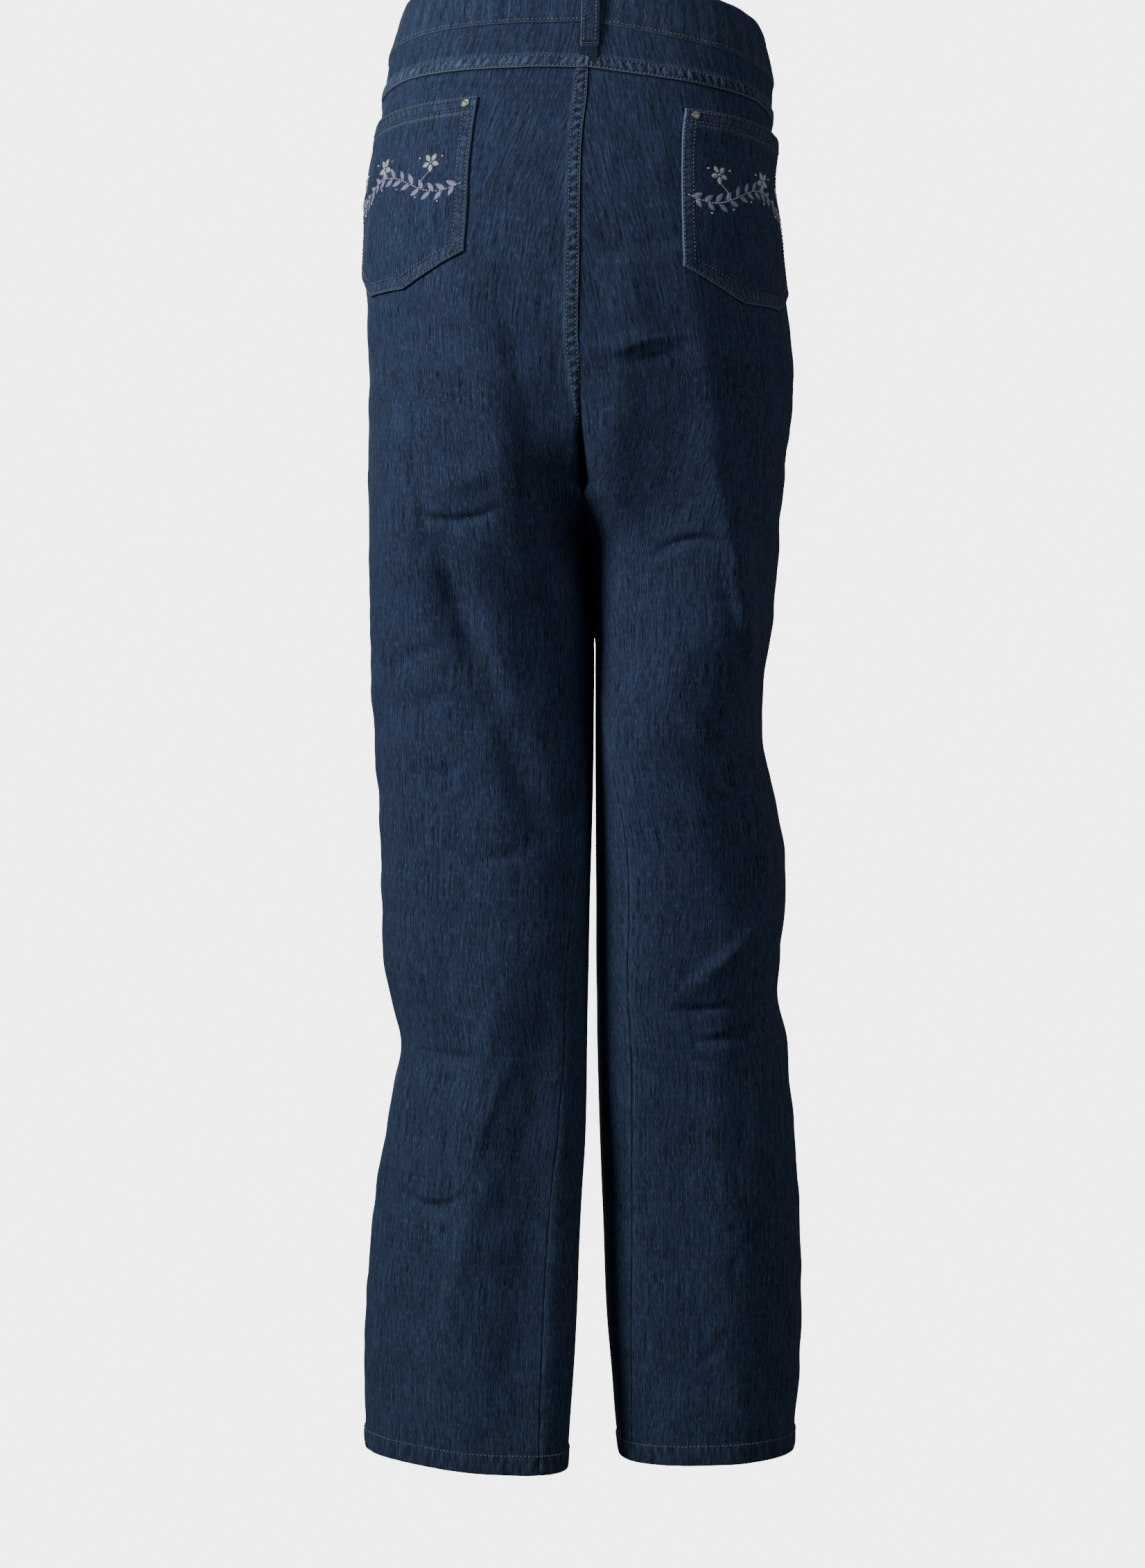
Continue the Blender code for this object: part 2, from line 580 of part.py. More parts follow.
def make_belt_loops():
    """Strips over the waistband, tacked at the top and below the waist seam."""
    for word, (side, face, distance) in LOOPS.items():
        near = angle_after(side, face, side_top(WAIST_SEAM, side), distance)
        waist = float(seam_level(WAIST_SEAM, side, near))
        levels = {"foot": waist - LOOP_FOOT, "waist": waist, "top": waist + BAND_HEIGHT + LOOP_TOP_PAST}
        outer, inner = [], []
        for across in (-LOOP_WIDTH / 2, 0, LOOP_WIDTH / 2):
            reach = distance + across
            half, run = (side, reach) if reach >= 0 else (-side, -reach)
            for grid, raised in ((outer, 1), (inner, 0)):
                line = []
                for origin, above, clear, stand, thick in LOOP_PROFILE:
                    level = levels[origin] + above
                    angle = angle_after(half, face, level, run)
                    line.append(cloth(half, angle, level, clear + stand * LOOP_STAND + raised * thick))
                grid.append(np.array(line))
        make_wall(f"belt_loop_{word}", np.array(outer), np.array(inner))


def make_turned(name, profile, size, centre, axis, segments, material):
    """A turned piece: profile rows are a share of its radius and a height above its seat."""
    axis = axis / np.linalg.norm(axis)
    level_way = np.cross(axis, (0, 0, 1.0))
    level_way /= np.linalg.norm(level_way)
    up_way = np.cross(level_way, axis)
    turns = np.linspace(0, 2 * np.pi, segments, endpoint=False)
    spokes = np.cos(turns)[:, None] * level_way + np.sin(turns)[:, None] * up_way
    points = [centre + axis * profile[0][1]]
    for radius, height in profile[1:-1]:
        points.extend(centre + axis * height + radius * size * spokes)
    points.append(centre + axis * profile[-1][1])
    rings = len(profile) - 2
    faces = []
    for i in range(segments):
        j = (i + 1) % segments
        faces.append((0, 1 + j, 1 + i))
        for ring in range(rings - 1):
            a, b = 1 + ring * segments, 1 + (ring + 1) * segments
            faces.append((a + i, a + j, b + j, b + i))
        last = 1 + (rings - 1) * segments
        faces.append((last + i, last + j, len(points) - 1))
    return make_object(name, np.array(points), [face[::-1] for face in faces], material)


def make_rivets():
    for side in (LEFT, RIGHT):
        size = POCKET[side]
        level = size["mouth"][0] - RIVET_PLACE[1]
        angle = angle_after(side, BACK, level, size["inner"][0] + RIVET_PLACE[0])
        centre = cloth(side, angle, level, LAYER_GAP + POCKET_THICK + SEAM_GAP)
        normal = cloth_normal(side, np.array(angle), np.array(level))
        make_turned(f"rivet_{SIDE_NAME[side]}", RIVET_PROFILE, RIVET_RADIUS, centre, normal,
                    RIVET_SEGMENTS, "pewter")


def make_button():
    level = float(seam_level(WAIST_SEAM, LEFT, -math.pi / 2)) + 0.5 * BAND_HEIGHT
    angle = angle_after(LEFT, FRONT, level, BUTTON_FROM_EDGE)
    centre = cloth(LEFT, angle, level, BAND_CLEAR)
    normal = cloth_normal(LEFT, np.array(angle), np.array(level))
    make_turned("waist_button", BUTTON_PROFILE, BUTTON_RADIUS, centre, normal, BUTTON_SEGMENTS, "pewter")


def main():
    for old in list(bpy.data.objects):
        bpy.data.objects.remove(old, do_unlink=True)
    make_leg_panels()
    make_yokes()
    make_waistband()
    make_back_pockets()
    make_pocket_facings()
    make_fly()
    make_belt_loops()
    make_rivets()
    make_button()


main()
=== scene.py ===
import math
import bpy
import numpy as np
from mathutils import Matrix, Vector


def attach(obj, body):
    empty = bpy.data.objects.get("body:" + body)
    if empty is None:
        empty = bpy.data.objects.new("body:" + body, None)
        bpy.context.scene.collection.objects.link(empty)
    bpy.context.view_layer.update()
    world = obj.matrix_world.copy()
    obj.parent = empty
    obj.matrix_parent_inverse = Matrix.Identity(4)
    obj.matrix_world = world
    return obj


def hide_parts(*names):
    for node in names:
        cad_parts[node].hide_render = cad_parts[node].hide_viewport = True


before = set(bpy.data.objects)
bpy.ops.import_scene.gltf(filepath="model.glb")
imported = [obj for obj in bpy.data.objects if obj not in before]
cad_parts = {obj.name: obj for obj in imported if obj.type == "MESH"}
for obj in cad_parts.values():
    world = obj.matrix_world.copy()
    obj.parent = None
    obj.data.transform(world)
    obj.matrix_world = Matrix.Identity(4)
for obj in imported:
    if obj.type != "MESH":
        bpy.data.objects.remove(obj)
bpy.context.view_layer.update()        # refresh the scene after the import
print("frame loaded:", len(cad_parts), "nodes")

millimetre = 0.001
left, right = 1, -1
front, back = -1, 1
sideWord = {left: "left", right: "right"}
faceWord = {front: "front", back: "back"}

# The garment's form. Lengths are in millimetres and levels count down from the waist.
# A place on the cloth is a half, an angle round it (0 outer side, 90 back, -90 front,
# 180 inner leg) and a level, and folds push it in or out along its normal.
form = {
    "cloth": 1.2,
    "layerGap": 0.8,
    "hemInner": {left: -1089.0, right: -1086.0},
    "hemSide": {left: -1083.0, right: -1083.0},
    "hemDepth": 15.0,
    "crotch": -376.0,
    "crotchSide": -346.0,
    "riseHeight": {front: 92.0, back: 108.0},
    "topSideTurn": -5.0,
    "legSquareness": 2.35,
    "bodySquareness": 2.55,
    "splitFrom": -410.0,
    "splitTo": -275.0,
    "cleftSoftness": 14.0,
    "touchFoot": -482.0,
    "touch": 1.4,
}


def table(names, rows):
    # named columns, in rising order of the first one
    ordered = sorted(rows)
    return {name: np.array([row[i] for row in ordered], float) for i, name in enumerate(names.split())}


# Levels of the waist and yoke seams by degrees round each half; they hang lower on the right.
waistSeam = table("turn left right", [
    (-90, -76, -76), (-45, -69, -78), (-6, -54, -74), (10, -50, -69.8), (30, -45, -62.8), (60, -42.2, -52.2),
    (90, -42, -42),
])
yokeSeam = table("turn left right", [
    (-6, -84, -100), (10, -80.5, -96.8), (30, -76, -91.5), (60, -75.5, -84), (90, -76, -76),
])
bodySections = table("level seam leftOuter rightOuter front back", [
    (10, -14, 117, -130, -111, 91),
    (-20, -13, 127, -138.5, -114, 98),
    (-45, -12.5, 134.5, -145, -117, 105),
    (-74, -11.5, 139.5, -148, -120, 112),
    (-100, -10, 143, -147.5, -122, 117.5),
    (-120, -7.5, 146.5, -147.5, -123, 122),
    (-145, -6, 150, -147.5, -124, 128),
    (-177, -5.5, 152, -152, -124, 134),
    (-217, -5, 152.5, -155.5, -123, 137),
    (-258, -4, 151, -161, -121, 136),
    (-287, -4, 150, -163.5, -119, 133),
    (-330, -5, 150.5, -159.5, -116, 124),
    (-376, -8.5, 151, -155, -112, 111),
    (-420, -12, 151, -152, -108, 100),
])
legSections = {
    left: table("level inner outer front back slant", [
        (-464, -15.5, 151, -100, 88, -4),
        (-535, -16, 149, -91, 76, -10),
        (-600, -15, 145, -85, 71, -15),
        (-670, -13, 143, -80, 66, -18),
        (-722, -12, 141, -77, 61, -20),
        (-755, -11.3, 134, -75, 58, -20),
        (-777, -11, 129, -74, 56, -20),
        (-815, -10.5, 135.5, -73, 54, -22),
        (-850, -9.5, 141.5, -72, 52, -25),
        (-885, -7.2, 147.5, -71, 50, -26),
        (-925, -5.2, 152, -70, 49, -27),
        (-970, -3.6, 155.5, -68, 47, -29),
        (-1010, -1.5, 157, -67, 46, -30),
        (-1060, 2, 156.5, -66, 45, -30),
        (-1095, 4, 155.5, -66, 44, -30),
    ]),
    right: table("level inner outer front back slant", [
        (-464, -16.5, -149, -106, 97, -4),
        (-505, -16.9, -143, -104, 93, -6),
        (-546, -16.9, -141.5, -101, 86, -8),
        (-584, -17, -148.5, -97, 78, -8),
        (-613, -17.2, -155, -94, 73, -8),
        (-639, -17.3, -158.5, -91, 69, -8),
        (-669, -17.5, -159, -89, 66, -8),
        (-722, -17.6, -154.5, -85, 60, -8),
        (-742, -18, -153.5, -84, 57, -8),
        (-765, -18.2, -158.5, -83, 54, -8),
        (-814, -19.3, -163.5, -81, 48, -8),
        (-852, -20.5, -167, -81, 44, -7),
        (-914, -23, -171, -82, 40, -6),
        (-983, -25.7, -172, -85, 37, -6),
        (-1027, -29.5, -170.5, -88, 35, -6),
        (-1060, -32, -168, -90, 34, -6),
        (-1095, -36, -166, -92, 33, -6),
    ]),
}
seamTurn = table("level leftInseam rightInseam side", [
    (10, 180, 180, -4),
    (-45, 180, 180, -5),
    (-217, 180, 180, -8),
    (-376, 180, 180, -14),
    (-464, 168, 156, -20),
    (-585, 152, 130, -30),
    (-722, 141, 128, -35),
    (-900, 140, 138, -35),
    (-1095, 143, 146, -35),
])
# A fold is a bowed line from start to end; depth below zero is a trough, above zero a
# ridge, and skew makes one of its flanks steeper than the other.
folds = table("startLevel face startX endX endLevel bow width depth skew", [
    (-216, back, 83, 28, -457, -3, 22, 5.0, 0.0),
    (-292, back, 12, 8, -440, 0, 22, -5.0, 0.0),
    (-419, back, 96, 22, -620, 0, 16, -7.0, 0.0),
    (-440, back, 118, 46, -640, 0, 18, 3.0, 0.0),
    (-722, back, 43, 80, -865, 4, 14, 3.0, 0.0),
    (-765, back, 124, 99, -877, -3, 14, 4.0, 0.0),
    (-762, back, 16, 92, -1041, 2, 18, -1.5, 0.0),
    (-882, back, 71, 104, -1041, -2, 14, 4.0, 0.0),
    (-213, back, -79, -124, -519, -4, 18, 5.0, 0.0),
    (-372, back, -128, -134, -507, 9, 14, 3.5, 0.0),
    (-569, back, -95, -128, -661, 0, 16, -3.5, 0.0),
    (-500, back, -73, -73, -560, 0, 28, 3.0, 0.0),
    (-730, back, -96, -143, -678, 0, 14, 3.0, 0.0),
    (-747, back, -147, -138, -900, 6, 14, 3.5, 0.0),
    (-240, front, 20, 96, -262, -8, 14, -3.0, 0.0),
    (-262, front, -24, -104, -286, 8, 14, -3.0, 0.0),
    (-290, front, 26, 92, -340, -6, 16, -4.0, 0.0),
    (-305, front, -32, -98, -352, 6, 16, -3.5, 0.0),
    (-330, front, 18, 58, -470, 0, 18, -5.0, 0.0),
    (-335, front, -30, -66, -470, 0, 18, -5.0, 0.0),
    (-600, front, 30, 112, -655, -6, 16, -3.5, 0.0),
    (-640, front, -40, -120, -680, 6, 16, -3.5, 0.0),
    (-690, front, 26, 108, -716, -5, 16, -4.0, 0.0),
    (-760, front, 110, 44, -1020, 0, 18, -6.0, 0.0),
    (-745, front, -60, -130, -1010, 0, 18, -6.0, 0.0),
    # creases left to the cloth: the long ridges behind each leg, then left leg, right leg and front
    (-370, back, 64, 46, -660, 3, 30, 6.5, 0.0),
    (-700, back, 54, 80, -1085, 0, 32, 8.0, 0.0),
    (-735, back, 20, 44, -1085, 0, 26, -5.0, 0.0),
    (-430, back, -108, -134, -548, -3, 5, 2.0, 0.6),
    (-432, back, -102, -127, -548, -3, 6, -2.4, 0.0),
    (-548, back, -134, -146, -650, 3, 6, 1.8, 0.4),
    (-310, back, -30, -34, -470, 0, 20, 4.5, 0.0),
    (-400, back, 102, 58, -520, -2, 13, -4.0, 0.0),
    (-350, back, -98, -104, -640, 0, 32, 5.5, 0.0),
    (-690, back, -104, -120, -1085, 0, 30, 5.5, 0.0),
    (-215, back, -42, -40, -345, 0, 34, 3.5, 0.0),
    (-225, back, 44, 20, -380, 4, 16, -3.0, 0.0),
    (-393, back, 111, 54, -388, 6, 5, -3.2, 0.3),
    (-330, back, 117, 107, -418, -3, 6, -3.0, 0.2),
    (-415, back, 106, 72, -505, -3, 12, -4.0, 0.2),
    (-371, back, 92, 60, -362, 2, 12, 2.2, 0.0),
    (-504, back, 135, 93, -486, -3, 8, -1.8, 0.0),
    (-525, back, 138, 93, -523, 3, 9, -1.8, 0.0),
    (-578, back, 107, 71, -566, 2, 8, -1.6, 0.0),
    (-639, back, 68, 35, -633, 2, 8, -1.5, 0.0),
    (-622, back, 116, 107, -700, 2, 7, -1.6, 0.2),
    (-694, back, 96, 88, -739, 1, 6, -1.8, 0.2),
    (-788, back, 44, 72, -871, 2, 8, 2.2, 0.3),
    (-781, back, 101, 68, -782, 2, 5, -2.8, 0.3),
    (-770, back, 128, 112, -880, -5, 9, -3.0, 0.2),
    (-886, back, 124, 78, -884, 9, 5, -3.4, 0.3),
    (-800, back, 118, 98, -876, 2, 9, -3.0, 0.0),
    (-210, back, -12, -74, -200, 3, 10, -1.8, 0.0),
    (-279, back, -12, -55, -268, 2, 8, 2.2, 0.2),
    (-288, back, -37, -74, -277, 2, 6, -1.6, 0.2),
    (-281, back, -28, -80, -268, -3, 3, 1.3, 0.6),
    (-347, back, -96, -126, -519, -3, 7, 2.2, 0.3),
    (-421, back, -59, -102, -410, -5, 5, -2.8, 0.3),
    (-748, back, -76, -124, -744, 2, 5, -2.6, 0.3),
    (-771, back, -93, -135, -760, 3, 5, -3.4, 0.3),
    (-738, back, -78, -138, -686, 0, 8, 2.4, 0.3),
    (-782, back, -85, -104, -790, 1, 5, -1.6, 0.0),
    (-859, back, -150, -151, -906, 2, 6, 2.0, 0.2),
    (-930, back, -120, -123, -957, 4, 6, -1.6, 0.0),
    (-1008, back, -94, -111, -989, 3, 7, -1.6, 0.0),
    (-560, front, 22, 70, -585, 5, 8, -1.6, 0.2),
    (-620, front, 60, 130, -634, -4, 8, -2.0, 0.2),
    (-668, front, 24, 84, -690, 4, 7, -2.0, 0.2),
    (-712, front, 60, 126, -742, -4, 8, -2.0, 0.0),
    (-665, front, -34, -96, -700, -4, 8, -2.0, 0.2),
    (-705, front, -70, -140, -722, 4, 8, -1.8, 0.2),
    (-735, front, -30, -88, -760, 3, 8, -1.6, 0.0),
    (-225, front, 16, 52, -236, -4, 6, -1.8, 0.2),
    (-232, front, -20, -62, -246, 4, 6, -1.8, 0.2),
    (-900, front, 70, 120, -925, -5, 7, -2.0, 0.2),
    (-950, front, -80, -140, -965, 5, 7, -2.0, 0.2),
])


def bell(distance, middle, width):
    # exp(-((distance - middle) / width)^2)
    return np.exp(-((distance - middle) / width)**2)


def smoothRead(rows, name, level):
    # cubic curve through a column, with slopes from its neighbours
    levels, values = rows[next(iter(rows))], rows[name]
    slopes = np.gradient(values, levels)
    level = np.clip(level, levels[0], levels[-1])
    below = np.clip(np.searchsorted(levels, level) - 1, 0, len(levels) - 2)
    span = levels[below + 1] - levels[below]
    t = (level - levels[below]) / span
    return ((2 * t**3 - 3 * t**2 + 1) * values[below] + (t**3 - 2 * t**2 + t) * span * slopes[below]
            + (3 * t**2 - 2 * t**3) * values[below + 1] + (t**3 - t**2) * span * slopes[below + 1])


def ease(t):
    t = np.clip(t, 0.0, 1.0)
    return t * t * (3 - 2 * t)


def halfSections(side):
    # leg rows, then the rows above them that both halves share
    leg = legSections[side]
    parting = np.where(bodySections["level"] < form["crotch"], 0.4, 0.15)
    outer = bodySections[sideWord[side] + "Outer"]
    body = {"level": bodySections["level"], "inner": bodySections["seam"] + side * parting, "outer": outer,
            "front": bodySections["front"], "back": bodySections["back"], "slant": 0 * outer}
    return {name: np.concatenate([leg[name], body[name]]) for name in body}


sections = {side: halfSections(side) for side in (left, right)}


def joinedShare(level):
    # 0 where the legs are apart and 1 where both halves are one seat
    return ease((level - form["splitFrom"]) / (form["splitTo"] - form["splitFrom"]))


def basePoint(side, angle, level):
    # squared ellipse: radius = (|cos/halfWidth|^p + |sin/halfDepth|^p)^(-1/p), held outside
    # the inner line by the smooth maximum (d + sqrt(d^2 + soft^2)) / 2
    inner, outer, frontY, backY, slant = (
        smoothRead(sections[side], name, level) for name in ("inner", "outer", "front", "back", "slant"))
    joined = joinedShare(level)
    centre = 0.5 * (1 - joined) * (inner + outer) + joined * inner
    halfWidth = outer - centre
    halfDepth = 0.5 * (backY - frontY)
    power = form["legSquareness"] + (form["bodySquareness"] - form["legSquareness"]) * joined
    across, along = np.cos(angle), np.sin(angle)
    radius = (np.abs(across / halfWidth)**power + np.abs(along / halfDepth)**power)**(-1 / power)
    clear = side * (centre - inner) + radius * across
    soft = form["cleftSoftness"] * 4 * joined * (1 - joined)
    clear = 0.5 * (clear + np.sqrt(clear**2 + soft**2))
    x = inner + side * clear
    y = 0.5 * (frontY + backY) + radius * along + slant * (x - centre) / halfWidth
    return np.stack([x, y, level + 0 * x], axis=-1)


def clothNormal(side, angle, level):
    # cross product of the differences round the leg and up it
    turn, climb = math.radians(0.4), 1.5
    roundLeg = basePoint(side, angle + turn, level) - basePoint(side, angle - turn, level)
    upLeg = basePoint(side, angle, level + climb) - basePoint(side, angle, level - climb)
    normal = side * np.cross(roundLeg, upLeg)
    return normal / np.linalg.norm(normal, axis=-1, keepdims=True)


def waves(x, z, size, seed, count=7):
    # soft unevenness: a sum of sine waves in seeded directions, about -1 to 1
    draw = np.random.default_rng(seed)
    total = 0.0 * x
    for i in range(count):
        heading, phase = draw.uniform(0, 2 * np.pi, 2)
        pitch = size * draw.uniform(0.7, 1.5)
        total += np.sin(2 * np.pi * (x * np.cos(heading) + z * np.sin(heading)) / pitch + phase)
    return total / math.sqrt(count)


def foldDepth(x, level, facing):
    # bell across the fold's bowed line, faded at its ends and where the cloth is edge on
    depth = 0.0 * x
    for i in range(len(folds["depth"])):
        fold = {name: values[i] for name, values in folds.items()}
        runX, runZ = fold["endX"] - fold["startX"], fold["endLevel"] - fold["startLevel"]
        length = math.hypot(runX, runZ)
        dx, dz = x - fold["startX"], level - fold["startLevel"]
        along = (dx * runX + dz * runZ) / length**2
        inside = np.clip(along, 0, 1)
        aside = (dz * runX - dx * runZ) / length - fold["bow"] * 4 * inside * (1 - inside)
        past = (along - inside) * length
        fade = np.sin(np.pi * np.clip(0.12 + 0.76 * inside, 0, 1))
        width = 0.72 * fold["width"] * (1 + fold["skew"] * np.sign(aside))
        shape = np.exp(-(aside**2 + past**2) / width**2)
        depth += fold["depth"] * fade * shape * ease(1.5 * facing * fold["face"] - 0.15)
    return depth


def cloth(side, angle, level, lift=0.0):
    # points and normals of the finished cloth, moved out from its face by lift
    angle, level, lift = np.broadcast_arrays(np.asarray(angle, float), level, lift)
    base = basePoint(side, angle, level)
    normal = clothNormal(side, angle, level)
    x, z = base[..., 0], base[..., 2]
    legInner = ease(1.4 * side * normal[..., 0] + 1.3)      # calm where the thighs touch
    uneven = 0.45 * waves(x + base[..., 1], z, 42, 5) + 0.22 * waves(x - base[..., 1], z * 0.7, 19, 8)
    touch = ease((z - form["touchFoot"]) / 16) * ease((form["crotch"] + 8 - z) / 8) * (1 - legInner)
    joined = joinedShare(z)
    touch = touch * (form["touch"] + 2.0 * form["cleftSoftness"] * joined * (1 - joined))
    out = foldDepth(x, z, normal[..., 1]) + uneven * legInner + touch + lift
    return base + normal * out[..., None], normal


def seamLevel(seam, side, angle):
    # level of the waist or yoke seam at an angle round one half
    return smoothRead(seam, sideWord[side], np.degrees(angle))


def sideTop(seam, side):
    # its level where it meets the side seam
    return float(seamLevel(seam, side, math.radians(form["topSideTurn"])))


def sideTurn(level):
    return np.radians(smoothRead(seamTurn, "side", level))


def rowEnds(side, face, climb, seam):
    # climb runs 0 to 1 up the leg and 1 to 2 up the rise; gives both ends' levels and the start angle
    leg, rise = np.clip(climb, 0, 1), np.clip(climb - 1, 0, 1)
    bend = np.minimum(np.pi * rise, np.pi / 2)
    straight = np.clip(2 * rise - 1, 0, 1)
    height = form["riseHeight"][face]
    inner = form["hemInner"][side] + leg * (form["crotch"] - form["hemInner"][side])
    centreTop = float(seamLevel(seam, side, face * math.pi / 2))
    inner = inner + height * (1 - np.cos(bend)) + straight * (centreTop - form["crotch"] - height)
    outer = form["hemSide"][side] + leg * (form["crotchSide"] - form["hemSide"][side])
    outer = outer + rise * (sideTop(seam, side) - form["crotchSide"])
    inseam = np.radians(smoothRead(seamTurn, sideWord[side] + "Inseam", inner))
    legStart = inseam if face == back else inseam - 2 * np.pi
    return inner, outer, np.where(climb <= 1, legStart, face * (np.pi - bend))


def panelPlaces(side, face, share, climb, seam, scoop=None):
    # angle and level at a share of the way from the inner edge to the side seam; the rise is
    # squeezed so that its top row follows the seam, or the pocket mouth below it
    inner, outer, start = rowEnds(side, face, climb, seam)
    level = inner + (outer - inner) * ease(share)
    ends = rowEnds(side, face, np.array([1.0, 2.0]), seam)
    base, plainTop = (ends[0][i] + (ends[1][i] - ends[0][i]) * ease(share) for i in (0, 1))
    topStart, topSide = ends[2][1], sideTurn(sideTop(seam, side))
    top = seamLevel(seam, side, topStart + (topSide - topStart) * share)
    if scoop:
        part = np.clip((share - scoop["start"]) / (1 - scoop["start"]), 0, 1)
        top = top - scoop["drop"] * np.sqrt(1 - (1 - part)**2)
    level = np.where(climb > 1, base + (level - base) * (top - base) / (plainTop - base), level)
    sideAngle = sideTurn(np.where(climb > 1, level[-1:], outer))
    return start + (sideAngle - start) * share, level


def walkedAlong(points):
    # distance walked down the first axis of a grid of points
    steps = np.linalg.norm(np.diff(points, axis=0), axis=-1)
    return np.concatenate([0 * steps[:1], np.cumsum(steps, axis=0)])


levelStep = 4.0


def distanceTable(side, face):
    # for each level, the angle reached after walking a distance from the centre seam
    levels = np.arange(-300.0, 14.0, levelStep)
    angles = face * np.radians(np.linspace(90, -75, 331))
    walked = walkedAlong(basePoint(side, angles[:, None] + 0 * levels, levels + 0 * angles[:, None]))
    distances = np.arange(0.0, 300.0, 1.0)
    reached = np.array([np.interp(distances, column, angles) for column in walked.T])
    return levels, distances, reached


distanceTables = {(side, face): distanceTable(side, face) for side in (left, right) for face in (front, back)}


def angleAfter(side, face, level, distance):
    # two-way linear reading of the distance table
    levels, distances, reached = distanceTables[(side, face)]
    level, distance = np.broadcast_arrays(np.asarray(level, float), np.asarray(distance, float))
    row = np.clip((level - levels[0]) / levelStep, 0, len(levels) - 1.001)
    column = np.clip(distance, 0, len(distances) - 1.001)
    i, j = row.astype(int), column.astype(int)
    u, v = row - i, column - j
    return ((1 - u) * ((1 - v) * reached[i, j] + v * reached[i, j + 1])
            + u * ((1 - v) * reached[i + 1, j] + v * reached[i + 1, j + 1]))


def onHalf(side, across):
    # a distance past the centre seam belongs to the other half
    return (side, across) if across >= 0 else (-side, -across)


print("form ready")


def meshFrom(name, points, faces, materials):
    mesh = bpy.data.meshes.new(name)
    mesh.from_pydata((np.asarray(points) * millimetre).tolist(), [], faces)
    for material in materials:
        mesh.materials.append(material)
    piece = bpy.data.objects.new(name, mesh)
    bpy.context.collection.objects.link(piece)
    mesh.shade_smooth()
    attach(piece, "root")
    return piece


def paintPoints(piece, uv, wearAndShade):
    # the cloth's own map in metres and its worn tone with painted shade below zero, from one value for each
    # point
    mesh = piece.data
    corner = np.empty(len(mesh.loops), np.int32)
    mesh.loops.foreach_get("vertex_index", corner)
    layer = mesh.uv_layers.new(name="cloth")
    layer.data.foreach_set("uv", (uv[corner] * millimetre).ravel())
    worn = mesh.attributes.new("wearAndShade", "FLOAT", "POINT")
    worn.data.foreach_set("value", np.clip(wearAndShade, -1, 1).astype(np.float32))


def clothMap(points):
    # distances across and along the cloth, measured from its middle column
    across = walkedAlong(points)
    along = walkedAlong(points[points.shape[0] // 2])
    return np.stack([across - across[-1] / 2, along + 0 * across], axis=-1)


def extraDepth(points, normals, pickColumn, pickRow, thick):
    # how much deeper the coarse inner grid must lie for the creases between its points to clear it
    column = np.interp(np.arange(points.shape[0]), pickColumn, np.arange(len(pickColumn)))
    row = np.interp(np.arange(points.shape[1]), pickRow, np.arange(len(pickRow)))
    i = np.minimum(column.astype(int), len(pickColumn) - 2)
    j = np.minimum(row.astype(int), len(pickRow) - 2)
    u, v = (column - i)[:, None, None], (row - j)[None, :, None]
    rough = points[np.ix_(pickColumn, pickRow)]
    at = rough[i][:, j] * (1 - u) * (1 - v) + rough[i + 1][:, j] * u * (1 - v)
    at = at + rough[i][:, j + 1] * (1 - u) * v + rough[i + 1][:, j + 1] * u * v
    dip = np.sum((at - points) * normals, axis=-1)
    worst = np.zeros((len(pickColumn) + 1, len(pickRow) + 1))
    np.maximum.at(worst, (i[:, None] + 1 + 0 * j, j[None, :] + 1 + 0 * i[:, None]), dip)
    worst = np.maximum(np.maximum(worst[1:, 1:], worst[:-1, 1:]), np.maximum(worst[1:, :-1], worst[:-1, :-1]))
    return np.maximum(worst - (thick - 0.5), 0)


def gridQuads(number):
    return np.stack([number[:-1, :-1], number[1:, :-1], number[1:, 1:], number[:-1, 1:]], -1).reshape(-1, 4)


